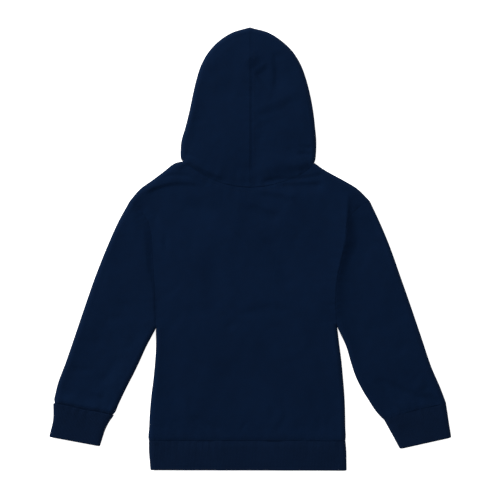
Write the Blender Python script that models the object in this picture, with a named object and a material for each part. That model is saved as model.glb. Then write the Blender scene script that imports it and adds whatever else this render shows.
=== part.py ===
"""Toddler pullover hoodie, size 4T, laid flat on its front with the back up and
the hood spread above the neck.

Frame: metres, +Z up off the table, +Y towards the crown of the hood, +X to the
right as laid. The origin is on the table, at the centre of the garment's box.

The garment is two layers of cloth that lie on each other. Every outer edge in
plan is a fold, or a seam that sits on a fold, so each layer is worked out from
the distance to that outline: the cloth rounds down over the last few
millimetres and meets the other layer at half height. The lower layer is flat on
the table. The upper layer follows a slow loft and a short list of soft folds.
"""

import math

import bpy
import numpy as np

MM = 0.001

# ---------------------------------------------------------------- sizes, mm
FLEECE = 2.4        # brushed fleece, one layer
RIB = 3.2           # rib, folded double
SEAM_GAP = 0.3      # between pieces, at every seam
EDGE_HEIGHT = 4.1   # height of the fold line above the table
EDGE_REACH = 4.6    # how far in plan a folded edge rounds over
TOP_EDGE = 8.2      # height of the upper face just inside a folded edge
TOP_FIELD = 6.7     # height of the upper face in the middle of a panel
TOP_HOOD = 8.3      # height of the upper face in the hood
TOP_RIB = 8.1       # height of the upper face on the cuffs and the hem band
TOP_MIN, TOP_MAX = 5.9, 8.7
LOFT_DECAY = 30.0   # how fast the loft at an edge dies away
FACE_HALF_WIDTH = 37.0   # of the face opening, in the lower layer
FACE_LOW, FACE_TOP = 108.0, 283.0   # lowest and highest point of the face opening
FRONT_NECK_Y = 60.0      # centre front neck point
CROWN_Y = 236.0          # where the crown of the hood starts to fan
CENTRE_X = 0.4           # centre seam of the hood

# ------------------------------------------------------------ outline, mm
# Hood outline: height, left edge, right edge. The first row is the pair of neck
# points, where the hood, the back and the front meet.
HOOD = (
    # y_left, x_left, y_right, x_right
    (127.2, -96.5, 125.0, 92.2),
    (131.0, -99.2, 130.0, 93.9),
    (143.3, -99.9, 143.3, 95.1),
    (157.8, -98.3, 157.8, 95.2),
    (173.6, -93.6, 173.6, 93.8),
    (199.4, -87.1, 199.5, 90.8),
    (223.1, -82.2, 223.2, 86.4),
    (247.3, -76.4, 247.2, 80.1),
    (266.5, -69.9, 266.4, 72.8),
    (284.8, -59.4, 285.1, 61.3),
    (299.8, -45.3, 300.3, 45.8),
    (312.3, -26.0, 312.5, 26.5),
    (320.1, 0.4, 320.1, 0.4),
)
# Shoulder lines, neck point to sleeve head.
SHOULDER = (
    # x_left, y_left, x_right, y_right
    (-96.5, 127.2, 92.2, 125.0),
    (-108.6, 124.0, 105.0, 116.0),
    (-123.3, 112.8, 118.1, 108.4),
    (-140.0, 100.2, 134.1, 99.8),
    (-158.2, 87.0, 154.6, 87.4),
    (-172.7, 70.4, 171.8, 70.6),
)
# Armholes, sleeve head to armpit. They are the same on the back and the front.
ARMHOLE = (
    # x_left, y_left, x_right, y_right
    (-172.7, 70.4, 171.8, 70.6),
    (-157.5, 56.6, 151.6, 55.6),
    (-147.0, 40.5, 141.6, 42.0),
    (-142.0, 20.0, 136.9, 20.0),
    (-140.0, -12.0, 133.6, -10.0),
    (-137.8, -48.0, 126.2, -42.0),
    (-136.6, -84.0, 123.8, -76.0),
    (-135.6, -114.0, 125.3, -110.6),
)
# Sleeves, section by section from the armhole down to the cuff seam.
SLEEVE_LEFT = (
    # x_outer, y_outer, x_inner, y_inner
    (-172.7, 70.4, -135.6, -114.0),
    (-189.4, 40.2, -142.0, -125.8),
    (-206.5, 1.8, -149.4, -139.7),
    (-222.4, -38.2, -158.6, -159.9),
    (-236.9, -79.4, -168.1, -179.8),
    (-251.2, -121.6, -177.4, -197.7),
    (-265.2, -162.4, -186.0, -215.5),
    (-277.6, -196.1, -192.5, -229.4),
    (-282.4, -221.5, -197.1, -238.8),
)
SLEEVE_RIGHT = (
    (171.8, 70.6, 125.3, -110.6),
    (186.9, 38.7, 131.8, -124.3),
    (201.3, 4.1, 139.1, -141.0),
    (216.7, -39.4, 145.7, -163.6),
    (232.0, -83.1, 152.3, -183.1),
    (247.1, -127.7, 161.0, -200.8),
    (261.0, -169.0, 170.6, -216.6),
    (273.9, -198.9, 181.9, -233.6),
    (282.4, -221.3, 194.2, -246.8),
)
# Cuffs: the seam with the sleeve is a slightly bowed line, the end is straight.
CUFF_SEAM_LEFT = ((-282.4, -221.5), (-262.0, -225.0), (-240.6, -230.4),
                  (-218.0, -234.0), (-197.1, -238.8))
CUFF_SEAM_RIGHT = ((282.4, -221.3), (260.0, -226.2), (241.3, -230.6),
                   (217.0, -237.0), (194.2, -246.8))
CUFF_EDGE_LEFT = (
    # x_outer, y_outer, x_inner, y_inner
    (-282.4, -221.5, -197.1, -238.8),
    (-284.0, -244.0, -205.3, -252.0),
    (-290.0, -270.2, -216.2, -284.0),
)
CUFF_EDGE_RIGHT = (
    (282.4, -221.3, 194.2, -246.8),
    (285.1, -245.0, 205.6, -265.8),
    (288.9, -271.3, 217.5, -287.2),
)
# Sides of the body, armpit down to the hem seam.
SIDE = (
    # x_left, y_left, x_right, y_right
    (-135.6, -114.0, 125.3, -110.6),
    (-135.3, -137.5, 128.5, -136.9),
    (-136.7, -161.9, 131.5, -159.9),
    (-139.2, -187.9, 134.1, -187.9),
    (-142.2, -211.9, 136.0, -211.9),
    (-144.5, -239.9, 137.1, -242.0),
    (-145.7, -275.8, 137.6, -275.8),
)
# Hem band: its seam and its lower edge are nearly straight.
HEM_EDGE = (
    # x_left, y_left, x_right, y_right
    (-145.7, -275.8, 137.6, -275.8),
    (-144.8, -296.1, 138.4, -296.4),
    (-143.3, -318.1, 139.1, -318.8),
)
# Back neck seam, left neck point to right neck point.
BACK_NECK_LEFT = ((-96.5, 127.2), (-83.5, 118.8), (-66.0, 107.6),
                  (-47.0, 98.4), (-23.0, 91.9), (0.4, 89.7))
BACK_NECK_RIGHT = ((92.2, 125.0), (83.5, 115.6), (67.0, 105.4),
                   (46.1, 97.6), (22.6, 91.6), (0.4, 89.7))
# Front neck seam, deeper, in the lower layer.
FRONT_NECK_LEFT = ((-96.5, 127.2), (-84.0, 108.0), (-64.0, 84.0),
                   (-36.0, 66.0), (0.4, 60.0))
FRONT_NECK_RIGHT = ((92.2, 125.0), (82.0, 107.0), (63.0, 83.6),
                    (36.0, 66.0), (0.4, 60.0))

# Largest folds of the upper layer. A negative height is a trough.
FOLDS = (
    # x0, y0, x1, y1, half_width, height
    (-94.0, 129.0, -44.0, 103.0, 9.0, -1.0),     # along the hood's base, left
    (30.0, 112.0, 92.0, 122.0, 9.0, -0.9),       # along the hood's base, right
    (6.0, 262.0, 26.0, 246.0, 14.0, -0.9),       # crown, diagonal
    (36.0, 276.0, 34.0, 200.0, 12.0, -0.7),      # crown, right of the centre
    (8.0, 196.0, 46.0, 206.0, 14.0, -0.8),       # across the hood
    (-148.0, 86.0, -66.0, 98.0, 12.0, -0.6),     # back, below the left neck point
    (32.0, 95.0, 106.0, 96.0, 12.0, -0.6),       # back, below the right neck point
    (-58.0, 30.0, -64.0, -72.0, 16.0, 0.7),      # drape fold, left of the back
    (30.0, 14.0, 76.0, -64.0, 16.0, 0.7),        # drape fold, right of the back
    (-40.0, -86.0, 50.0, -88.0, 16.0, 0.5),      # slack across the waist
    (-80.0, -243.0, -50.0, -257.0, 12.0, -0.6),  # pucker above the hem, left
    (34.0, -258.0, 52.0, -238.0, 12.0, -0.6),    # pucker above the hem, right
    (-152.0, 36.0, -143.0, -80.0, 9.0, -0.8),    # beside the left armhole
    (144.0, 34.0, 134.0, -60.0, 12.0, -1.1),     # beside the right armhole
    (206.0, -196.0, 270.0, -222.0, 9.0, -0.8),   # above the right cuff
    (-268.0, -176.0, -190.0, -180.0, 12.0, -0.4),  # above the left cuff
)

# ------------------------------------------------------------- subdivisions
EDGE_STEPS = (0.0, 0.134, 0.5, 1.0)   # shares of EDGE_REACH beside a folded edge
N_HOOD_UP = 6       # cells across half the hood, beyond the edge steps
N_HOOD_LOW = 4
N_HOOD_ROWS = 10    # rows from the neck to the crown
N_HOOD_FAN = 8      # rows in the crown's fan
N_SHOULDER = 3
N_SIDE = 6
N_ARMHOLE = 7       # cells along an armhole, and across a sleeve
N_SLEEVE = 11
N_CUFF = 2
N_HEM = 12
N_HEM_ROWS = 2


# ------------------------------------------------------------------ curves
class Curve:
    """A smooth curve through points (centripetal Catmull-Rom), by length. With
    no steps it is the straight lines between them."""

    def __init__(self, points, steps=24):
        p = np.array(points, float)
        if len(p) == 2 or not steps:
            self.p = p
        else:
            p = np.vstack([2 * p[0] - p[1], p, 2 * p[-1] - p[-2]])
            out = []
            for k in range(1, len(p) - 2):
                a, b, c, d = p[k - 1], p[k], p[k + 1], p[k + 2]
                t0 = 0.0
                t1 = t0 + math.sqrt(np.linalg.norm(b - a))
                t2 = t1 + math.sqrt(np.linalg.norm(c - b))
                t3 = t2 + math.sqrt(np.linalg.norm(d - c))
                for t in np.linspace(t1, t2, steps, endpoint=False):
                    ab = (t1 - t) / (t1 - t0) * a + (t - t0) / (t1 - t0) * b
                    bc = (t2 - t) / (t2 - t1) * b + (t - t1) / (t2 - t1) * c
                    cd = (t3 - t) / (t3 - t2) * c + (t - t2) / (t3 - t2) * d
                    e = (t2 - t) / (t2 - t0) * ab + (t - t0) / (t2 - t0) * bc
                    f = (t3 - t) / (t3 - t1) * bc + (t - t1) / (t3 - t1) * cd
                    out.append((t2 - t) / (t2 - t1) * e + (t - t1) / (t2 - t1) * f)
            out.append(p[-2])
            self.p = np.array(out)
        step = np.linalg.norm(np.diff(self.p, axis=0), axis=1)
        self.s = np.concatenate([[0.0], np.cumsum(step)])
        self.length = float(self.s[-1])

    def at(self, s):
        s = np.asarray(s, float)
        return np.stack([np.interp(s, self.s, self.p[:, k]) for k in (0, 1)], axis=-1)


def stations(length, n, first=True, last=True):
    """Lengths along a line: edge steps at the ends that meet a fold, and n equal
    cells between them."""
    a = [EDGE_REACH * e for e in EDGE_STEPS] if first else [0.0]
    b = [length - EDGE_REACH * e for e in reversed(EDGE_STEPS)] if last else [length]
    mid = list(np.linspace(a[-1], b[0], n + 1))[1:-1]
    return np.array(a + mid + b)


def columns(rows, *names):
    return [tuple(r[k] for k in names) for r in rows]


hood_edge_l = Curve(columns(HOOD, 1, 0))
hood_edge_r = Curve(columns(HOOD, 3, 2))
shoulder_l = Curve(columns(SHOULDER, 0, 1))
shoulder_r = Curve(columns(SHOULDER, 2, 3))
armhole_l = Curve(columns(ARMHOLE, 0, 1))
armhole_r = Curve(columns(ARMHOLE, 2, 3))
side_l = Curve(columns(SIDE, 0, 1))
side_r = Curve(columns(SIDE, 2, 3))
outer_l = Curve(columns(SLEEVE_LEFT, 0, 1))
inner_l = Curve(columns(SLEEVE_LEFT, 2, 3))
outer_r = Curve(columns(SLEEVE_RIGHT, 0, 1))
inner_r = Curve(columns(SLEEVE_RIGHT, 2, 3))
cuff_outer_l = Curve(columns(CUFF_EDGE_LEFT, 0, 1))
cuff_inner_l = Curve(columns(CUFF_EDGE_LEFT, 2, 3))
cuff_outer_r = Curve(columns(CUFF_EDGE_RIGHT, 0, 1))
cuff_inner_r = Curve(columns(CUFF_EDGE_RIGHT, 2, 3))
cuff_seam_l = Curve(CUFF_SEAM_LEFT)
cuff_seam_r = Curve(CUFF_SEAM_RIGHT)
hem_l = Curve(columns(HEM_EDGE, 0, 1))
hem_r = Curve(columns(HEM_EDGE, 2, 3))
back_neck_l = Curve(BACK_NECK_LEFT)
back_neck_r = Curve(BACK_NECK_RIGHT)
front_neck_l = Curve(FRONT_NECK_LEFT)
front_neck_r = Curve(FRONT_NECK_RIGHT)

FOLDED = [hood_edge_l, hood_edge_r, shoulder_l, shoulder_r, side_l, side_r,
          outer_l, inner_l, outer_r, inner_r, cuff_outer_l, cuff_inner_l,
          cuff_outer_r, cuff_inner_r, hem_l, hem_r]
SEG_A = np.vstack([c.p[:-1] for c in FOLDED])
SEG_B = np.vstack([c.p[1:] for c in FOLDED])
BOX_LO = np.min(np.vstack([SEG_A, SEG_B]), axis=0)
BOX_HI = np.max(np.vstack([SEG_A, SEG_B]), axis=0)
CENTRE = (BOX_LO + BOX_HI) / 2


# ----------------------------------------------------------------- heights
def to_outline(p):
    """Distance from each point to the folded outline, and the unit direction
    away from it."""
    ab = SEG_B - SEG_A
    ll = (ab ** 2).sum(axis=1)
    dist, away = np.empty(len(p)), np.empty((len(p), 2))
    for k, q in enumerate(p):
        t = np.clip(((q - SEG_A) * ab).sum(axis=1) / ll, 0, 1)
        v = q - (SEG_A + t[:, None] * ab)
        d = np.hypot(v[:, 0], v[:, 1])
        m = int(np.argmin(d))
        dist[k] = d[m]
        away[k] = v[m] / d[m] if d[m] > 1e-6 else (0.0, 0.0)
    return dist, away


def smooth(x, lo, hi):
    t = np.clip((x - lo) / (hi - lo), 0, 1)
    return t * t * (3 - 2 * t)


def folds(p):
    h = np.zeros(len(p))
    for x0, y0, x1, y1, half, height in FOLDS:
        a, b = np.array([x0, y0]), np.array([x1, y1])
        t = np.clip(((p - a) @ (b - a)) / ((b - a) @ (b - a)), 0, 1)
        d = np.linalg.norm(p - (a + t[:, None] * (b - a)), axis=1)
        h += height * np.exp(-((d / half) ** 2))
    return h


def top_height(p, d, rib=False):
    """Height of the upper face, away from the rounding of the edges."""
    if rib:
        return np.full(len(p), TOP_RIB)
    top = TOP_FIELD + (TOP_EDGE - TOP_FIELD) * np.exp(-d / LOFT_DECAY)
    hood = smooth(p[:, 1], 96.0, 160.0)
    top = top + hood * (TOP_HOOD - top) + folds(p) * smooth(d, 2.0, 14.0)
    return np.clip(top, TOP_MIN, TOP_MAX)


def layer(p, inward, upper, wall, rib=False):
    """Outer and inner points of one layer over plan points p. inward holds the
    plan direction for points on a fold or at the end of a seam, else zeros."""
    d, away = to_outline(p)
    own = np.linalg.norm(inward, axis=1) > 0
    away[own] = inward[own]
    c = np.clip(1 - d / EDGE_REACH, 0, 1)       # cosine along the rounding
    s = np.sqrt(1 - c * c)
    if upper:
        rise = top_height(p, d, rib) - EDGE_HEIGHT
        z = EDGE_HEIGHT + rise * s
    else:
        rise = np.full(len(p), EDGE_HEIGHT)
        z = EDGE_HEIGHT - rise * s
    n_flat, n_up = rise * c, EDGE_REACH * s
    size = np.hypot(n_flat, n_up)
    n_flat, n_up = n_flat / size, n_up / size
    outer = np.column_stack([p, z])
    inner = np.column_stack([p + away * (wall * n_flat)[:, None],
                             z - wall * n_up * (1 if upper else -1)])
    return outer, inner


# ------------------------------------------------------------------- grids
def lengths(line):
    s = np.concatenate([[0], np.cumsum(np.linalg.norm(np.diff(line, axis=0), axis=1))])
    return s / s[-1]


def patch(bottom, top, left, right):
    """Points between four boundary lines: index 0 runs bottom/top, 1 left/right."""
    sb, st, tl, tr = lengths(bottom), lengths(top), lengths(left), lengths(right)
    n, m = len(bottom), len(left)
    out = np.zeros((n, m, 2))
    for i in range(n):
        for j in range(m):
            den = 1 - (st[i] - sb[i]) * (tr[j] - tl[j])
            x = ((1 - tl[j]) * sb[i] + tl[j] * st[i]) / den
            y = ((1 - sb[i]) * tl[j] + sb[i] * tr[j]) / den
            out[i, j] = ((1 - x) * left[j] + x * right[j]
                         + (1 - y) * bottom[i] + y * top[i]
                         - (1 - x) * (1 - y) * bottom[0] - x * (1 - y) * bottom[-1]
                         - (1 - x) * y * top[0] - x * y * top[-1])
    return out


class Sheet:
    """A sheet of cloth: outer points, inner points and quads by index."""

    def __init__(self):
        self.outer, self.inner, self.quads, self.index = [], [], [], {}

    def add(self, key, outer, inner):
        self.index[key] = len(self.outer)
        self.outer.append(outer)
        self.inner.append(inner)

    def quad(self, *keys):
        ids = []
        for k in keys:
            v = self.index[k]
            if v not in ids:
                ids.append(v)
        if len(ids) > 2:
            self.quads.append(ids)

    def build(self, name, colour, roughness):
        n = len(self.outer)
        tris = []
        for q in self.quads:
            for k in range(1, len(q) - 1):
                tris.append((q[0], q[k], q[k + 1]))
        edges = {}
        for t in tris:
            for a, b in ((t[0], t[1]), (t[1], t[2]), (t[2], t[0])):
                edges[(a, b)] = True
        rims = [(a, b) for (a, b) in edges if (b, a) not in edges]
        faces = list(tris) + [(c + n, b + n, a + n) for a, b, c in tris]
        for a, b in rims:
            faces += [(b, a, a + n), (b, a + n, b + n)]
        verts = np.vstack([self.outer, self.inner])
        verts[:, :2] -= CENTRE
        mesh = bpy.data.meshes.new(name)
        mesh.from_pydata((verts * MM).tolist(), [], faces)
        mesh.update()
        mesh.shade_smooth()
        mesh.set_sharp_from_angle(angle=math.radians(50))
        obj = bpy.data.objects.new(name, mesh)
        bpy.context.scene.collection.objects.link(obj)
        mat = bpy.data.materials.new(name)
        mat.use_nodes = True
        bsdf = mat.node_tree.nodes["Principled BSDF"]
        bsdf.inputs["Base Color"].default_value = (*colour, 1)
        bsdf.inputs["Roughness"].default_value = roughness
        bsdf.inputs["Metallic"].default_value = 0.0
        mesh.materials.append(mat)
        return obj


def unit(v):
    return v / max(np.linalg.norm(v), 1e-9)


def tangent(line, k):
    a, b = max(k - 1, 0), min(k + 1, len(line) - 1)
    return unit(line[b] - line[a])


def along(line, first=True, last=True):
    """Where a seam runs into a fold, the wall is offset along the seam, so that
    both pieces end in the same upright face."""
    n = len(line) - 1
    out = {}
    if first:
        out.update({k: tangent(line, k) for k in range(bl + 1)})
    if last:
        out.update({n - k: -tangent(line, n - k) for k in range(bl + 1)})
    return out


def fill(sheet, tag, grid, upper, wall, ends, lift=None, rib=False, shift=None):
    """Adds a grid's points. ends maps (i, j) to the inward direction on folds and
    seam ends, lift holds the (i, j) raised half a gap, shift moves seam points."""
    n, m = grid.shape[:2]
    p = grid.reshape(-1, 2)
    inward = np.zeros((n, m, 2))
    for ij, v in ends.items():
        inward[ij] = v
    outer, inner = layer(p, inward.reshape(-1, 2), upper, wall, rib)
    outer, inner = outer.reshape(n, m, 3), inner.reshape(n, m, 3)
    for ij in lift or ():
        dz = SEAM_GAP / 2 * (1 if upper else -1)
        outer[ij][2] += dz
        inner[ij][2] += dz
    for ij, v in (shift or {}).items():
        outer[ij][:2] += v
        inner[ij][:2] += v
    for i in range(n):
        for j in range(m):
            if (tag, i, j) not in sheet.index:
                sheet.add((tag, i, j), outer[i, j], inner[i, j])


def normals(line, side):
    """Plan normals of a boundary line, to its left (side 1) or right (-1)."""
    return [side * np.array([-tangent(line, k)[1], tangent(line, k)[0]])
            for k in range(len(line))]


# ----------------------------------------------------- shared boundary lines
bl = len(EDGE_STEPS) - 1
n_arm = N_ARMHOLE + 2 * bl
arm_l = armhole_l.at(stations(armhole_l.length, N_ARMHOLE))
arm_r = armhole_r.at(stations(armhole_r.length, N_ARMHOLE))
sh_l = shoulder_l.at(shoulder_l.length - stations(shoulder_l.length, N_SHOULDER, last=False))
sh_r = shoulder_r.at(shoulder_r.length - stations(shoulder_r.length, N_SHOULDER, last=False))
sd_l = side_l.at(np.linspace(0, side_l.length, N_SIDE + 1))
sd_r = side_r.at(np.linspace(0, side_r.length, N_SIDE + 1))
bn_l = back_neck_l.at(stations(back_neck_l.length, N_HOOD_UP, last=False))
bn_r = back_neck_r.at(stations(back_neck_r.length, N_HOOD_UP, last=False))
fn_l = front_neck_l.at(stations(front_neck_l.length, N_HOOD_LOW, last=False))
fn_r = front_neck_r.at(stations(front_neck_r.length, N_HOOD_LOW, last=False))
seam_low = np.column_stack([np.full(N_HOOD_ROWS + 1, CENTRE_X),
                            np.linspace(BACK_NECK_LEFT[-1][1], CROWN_Y, N_HOOD_ROWS + 1)])
apex_y = HOOD[-1][0]
seam_top = np.column_stack([np.full(N_HOOD_UP + bl + 1, CENTRE_X),
                            apex_y - stations(apex_y - CROWN_Y, N_HOOD_UP, last=False)])
seam_under = np.column_stack([np.full(N_HOOD_LOW + bl + 1, CENTRE_X),
                              apex_y - stations(apex_y - FACE_TOP, N_HOOD_LOW, last=False)])


# -------------------------------------------------------------- the panels
def panel(name, upper, neck_l, neck_r, wall, colour):
    """Back (upper) or front (lower): hem seam, sides and armholes, shoulders and
    neck."""
    top = np.vstack([sh_l, neck_l[1:], neck_r[::-1][1:], sh_r[::-1][1:]])
    left = np.vstack([sd_l[::-1], arm_l[::-1][1:]])
    right = np.vstack([sd_r[::-1], arm_r[::-1][1:]])
    x0, x1, y = left[0][0], right[0][0], left[0][1]
    bottom_x = np.concatenate([
        [x0 + EDGE_REACH * e for e in EDGE_STEPS],
        np.linspace(x0 + EDGE_REACH, x1 - EDGE_REACH, len(top) - 2 * bl)[1:-1],
        [x1 - EDGE_REACH * e for e in reversed(EDGE_STEPS)]])
    bottom = np.column_stack([bottom_x, np.full(len(top), y)])
    grid = patch(bottom, top, left, right)
    n, m = len(top) - 1, len(left) - 1
    pit, ns = N_SIDE, len(sh_l) - 1
    ends, lift, shift = {}, set(), {}
    half = SEAM_GAP / 2
    for j, v in enumerate(normals(left, -1)):        # side seam, left
        if j <= pit:
            ends[(0, j)] = v
            lift.add((0, j))
    for j, v in enumerate(normals(right, 1)):
        if j <= pit:
            ends[(n, j)] = v
            lift.add((n, j))
    for k, v in enumerate(normals(top, -1)):         # shoulders
        if k <= ns or k >= n - ns:
            ends[(k, m)] = v
            lift.add((k, m))
    for line, i, side in ((left, 0, -1), (right, n, 1)):      # armholes
        for k, v in enumerate(normals(line[pit:], side)):
            shift[(i, pit + k)] = half * v
        ends.update({(i, pit + k): v for k, v in along(line[pit:]).items()})
    neck = top[ns:n - ns + 1]
    for k, v in enumerate(normals(neck, -1)):
        shift[(ns + k, m)] = half * v
    ends.update({(ns + k, m): v for k, v in along(neck).items()})
    ends.update({(k, 0): v for k, v in along(bottom).items()})  # hem seam
    for i in range(n + 1):
        shift[(i, 0)] = np.array([0, half])
    s = Sheet()
    fill(s, "p", grid, upper, wall, ends, lift, shift=shift)
    for i in range(n):
        for j in range(m):
            q = [("p", i, j), ("p", i + 1, j), ("p", i + 1, j + 1), ("p", i, j + 1)]
            s.quad(*(q if upper else q[::-1]))
    return s.build(name, colour, 0.85)


def tube(name, outer, inner, start, end, wall, colour, rib, mirror,
         start_gap=True, end_gap=True):
    """A sleeve, cuff or band: two layers joined at both folds. outer and inner are
    the folded edges, start and end the lines across, outer edge to inner edge."""
    grid = patch(start, end, outer, inner)
    n, m = len(start) - 1, len(outer) - 1
    flip = 1 if mirror else -1
    half = SEAM_GAP / 2
    base, shift = {}, {}
    for j, v in enumerate(normals(outer, -flip)):
        base[(0, j)] = v
    for j, v in enumerate(normals(inner, flip)):
        base[(n, j)] = v
    base.update({(k, 0): v for k, v in along(start).items()})
    base.update({(k, m): v for k, v in along(end).items()})
    if start_gap:
        for k, v in enumerate(normals(start, flip)):
            shift[(k, 0)] = half * v
    if end_gap:
        for k, v in enumerate(normals(end, -flip)):
            shift[(k, m)] = half * v
    s = Sheet()
    fill(s, "u", grid, True, wall, base, rib=rib, shift=shift)
    for j in range(m + 1):       # the folds belong to both layers
        for i in (0, n):
            s.index[("d", i, j)] = s.index[("u", i, j)]
    fill(s, "d", grid, False, wall, base, rib=rib, shift=shift)
    for tag in ("u", "d"):
        for i in range(n):
            for j in range(m):
                q = [(tag, i, j), (tag, i + 1, j), (tag, i + 1, j + 1), (tag, i, j + 1)]
                s.quad(*(q if (tag == "u") == mirror else q[::-1]))
    return s.build(name, colour, 0.85)


def hood(name, edge, neck_back, neck_front, wall, colour, mirror):
    """Half a hood: from the centre seam over the folded edge to the face edge."""
    rows = N_HOOD_ROWS + N_HOOD_FAN
    split = edge.s[int(np.argmin(np.abs(edge.p[:, 1] - CROWN_Y)))]
    at = np.concatenate([np.linspace(0, split, N_HOOD_ROWS + 1),
                         np.linspace(split, edge.length, N_HOOD_FAN + 1)[1:]])
    left = edge.at(at)
    sign = 1 if mirror else -1
    centre = np.array([CENTRE_X, CROWN_Y])
    nu, nl = len(neck_back) - 1, len(neck_front) - 1
    across = stations(np.linalg.norm(centre - left[N_HOOD_ROWS]), N_HOOD_UP, last=False)
    ray = left[N_HOOD_ROWS] + np.outer(across / across[-1], centre - left[N_HOOD_ROWS])
    low = patch(neck_back, ray, left[:N_HOOD_ROWS + 1], seam_low)
    grid = np.zeros((nu + 1, rows + 1, 2))
    grid[:, :N_HOOD_ROWS + 1] = low
    for j in range(N_HOOD_ROWS + 1, rows + 1):
        w = np.linalg.norm(centre - left[j])
        share = stations(w, N_HOOD_UP, last=False) / w
        grid[:, j] = left[j] + np.outer(share, centre - left[j])
    grid[:, rows] = seam_top
    # face edge: centre front up to the opening, round it, to the forehead point
    t = np.linspace(0, 1, 90)
    bow = FACE_HALF_WIDTH * np.abs(np.sin(np.pi * t ** 1.3)) ** 0.65
    face = np.column_stack([CENTRE_X + sign * bow, FACE_LOW + (FACE_TOP - FACE_LOW) * t])
    face[-1, 0] = CENTRE_X
    line = Curve(np.vstack([[[CENTRE_X, FRONT_NECK_Y]], face]), steps=0)
    n_cf = 3
    cut = line.s[1]
    right = line.at(np.concatenate([np.linspace(0, cut, n_cf + 1),
                                    np.linspace(cut, line.length, rows - n_cf + 1)[1:]]))
    under = patch(neck_front, seam_under, left, right)

    half = SEAM_GAP / 2
    ends = {(0, j): v for j, v in enumerate(normals(left, sign))}
    ends_up, ends_low = dict(ends), dict(ends)
    ends_up.update({(k, 0): v for k, v in along(neck_back, last=False).items()})
    ends_low.update({(k, 0): v for k, v in along(neck_front, last=False).items()})
    ends_up.update({(k, rows): v for k, v in along(seam_top, last=False).items()})
    ends_low.update({(k, rows): v for k, v in along(seam_under, last=False).items()})
    side = np.array([half * sign, 0.0])
    up_shift, low_shift = {}, {}
    for k, v in enumerate(normals(neck_back, -sign)):
        up_shift[(k, 0)] = half * v
    for k, v in enumerate(normals(neck_front, -sign)):
        low_shift[(k, 0)] = half * v
    low_shift[(0, 0)] = up_shift[(0, 0)]
    for j in range(1, rows + 1):
        up_shift[(nu, j)] = side
    for i in range(nu + 1):
        up_shift[(i, rows)] = side
    for i in range(nl + 1):
        low_shift[(i, rows)] = side
    for j in range(1, n_cf + 1):
        low_shift[(nl, j)] = side
    up_shift[(nu, 0)] = up_shift[(nu, 0)] + side
    low_shift[(nl, 0)] = low_shift[(nl, 0)] + side
    s = Sheet()
    fill(s, "u", grid, True, wall, ends_up, shift=up_shift)
    for j in range(N_HOOD_ROWS + 1, rows + 1):     # the fan meets in one point
        s.index[("u", nu, j)] = s.index[("u", nu, N_HOOD_ROWS)]
    for j in range(rows + 1):
        s.index[("d", 0, j)] = s.index[("u", 0, j)]
    fill(s, "d", under, False, wall, ends_low, shift=low_shift)
    for tag, n in (("u", nu), ("d", nl)):
        for i in range(n):
            for j in range(rows):
                q = [(tag, i, j), (tag, i + 1, j), (tag, i + 1, j + 1), (tag, i, j + 1)]
                s.quad(*(q if (tag == "u") != mirror else q[::-1]))
    # points left out by the fan's merge are dropped
    used = sorted({v for q in s.quads for v in q})
    new = {v: k for k, v in enumerate(used)}
    s.outer = [s.outer[v] for v in used]
    s.inner = [s.inner[v] for v in used]
    s.quads = [[new[v] for v in q] for q in s.quads]
    return s.build(name, colour, 0.85)


def main():
    for obj in list(bpy.data.objects):
        bpy.data.objects.remove(obj, do_unlink=True)
    navy = (0.0035, 0.0095, 0.028)
    rib_navy = (0.0035, 0.0092, 0.027)
    panel("back", True, bn_l, bn_r, FLEECE, navy)
    panel("front", False, fn_l, fn_r, FLEECE, navy)
    k = np.linspace(0, 1, N_SLEEVE + 1)
    tube("sleeve_l", outer_l.at(k * outer_l.length), inner_l.at(k * inner_l.length),
         arm_l, cuff_seam_l.at(stations(cuff_seam_l.length, N_ARMHOLE)),
         FLEECE, navy, False, False)
    tube("sleeve_r", outer_r.at(k * outer_r.length), inner_r.at(k * inner_r.length),
         arm_r, cuff_seam_r.at(stations(cuff_seam_r.length, N_ARMHOLE)),
         FLEECE, navy, False, True)
    k = np.linspace(0, 1, N_CUFF + 1)
    for name, seam, out, inn, mirror in (
            ("cuff_l", cuff_seam_l, cuff_outer_l, cuff_inner_l, False),
            ("cuff_r", cuff_seam_r, cuff_outer_r, cuff_inner_r, True)):
        end = Curve([out.p[-1], inn.p[-1]])
        tube(name, out.at(k * out.length), inn.at(k * inn.length),
             seam.at(stations(seam.length, N_ARMHOLE)),
             end.at(stations(end.length, N_ARMHOLE)), RIB, rib_navy, True, mirror,
             end_gap=False)
    k = np.linspace(0, 1, N_HEM_ROWS + 1)
    seam, end = Curve([hem_l.p[0], hem_r.p[0]]), Curve([hem_l.p[-1], hem_r.p[-1]])
    tube("hem_band", hem_l.at(k * hem_l.length), hem_r.at(k * hem_r.length),
         seam.at(stations(seam.length, N_HEM)), end.at(stations(end.length, N_HEM)),
         RIB, rib_navy, True, False, end_gap=False)
    hood("hood_l", hood_edge_l, bn_l, fn_l, FLEECE, navy, False)
    hood("hood_r", hood_edge_r, bn_r, fn_r, FLEECE, navy, True)


main()
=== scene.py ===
"""Looks of the toddler hoodie, laid flat on its front with the back up.

Every piece of cloth is a thin closed shell on the form of its CAD solid. It is
built from the same outline and seam tables as the solids, on a fine grid, and
then moved along its normal by the soft folds, the seams, the puckers beside
them and the ribs. Threads are joined meshes that lie on the shells.

Lengths in the tables are millimetres, in the garment's plan, X to the right as
laid and Y towards the crown of the hood. Nothing here is random without a seed.
"""

import math

import bpy
import numpy as np
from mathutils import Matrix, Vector
from mathutils.kdtree import KDTree


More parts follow.
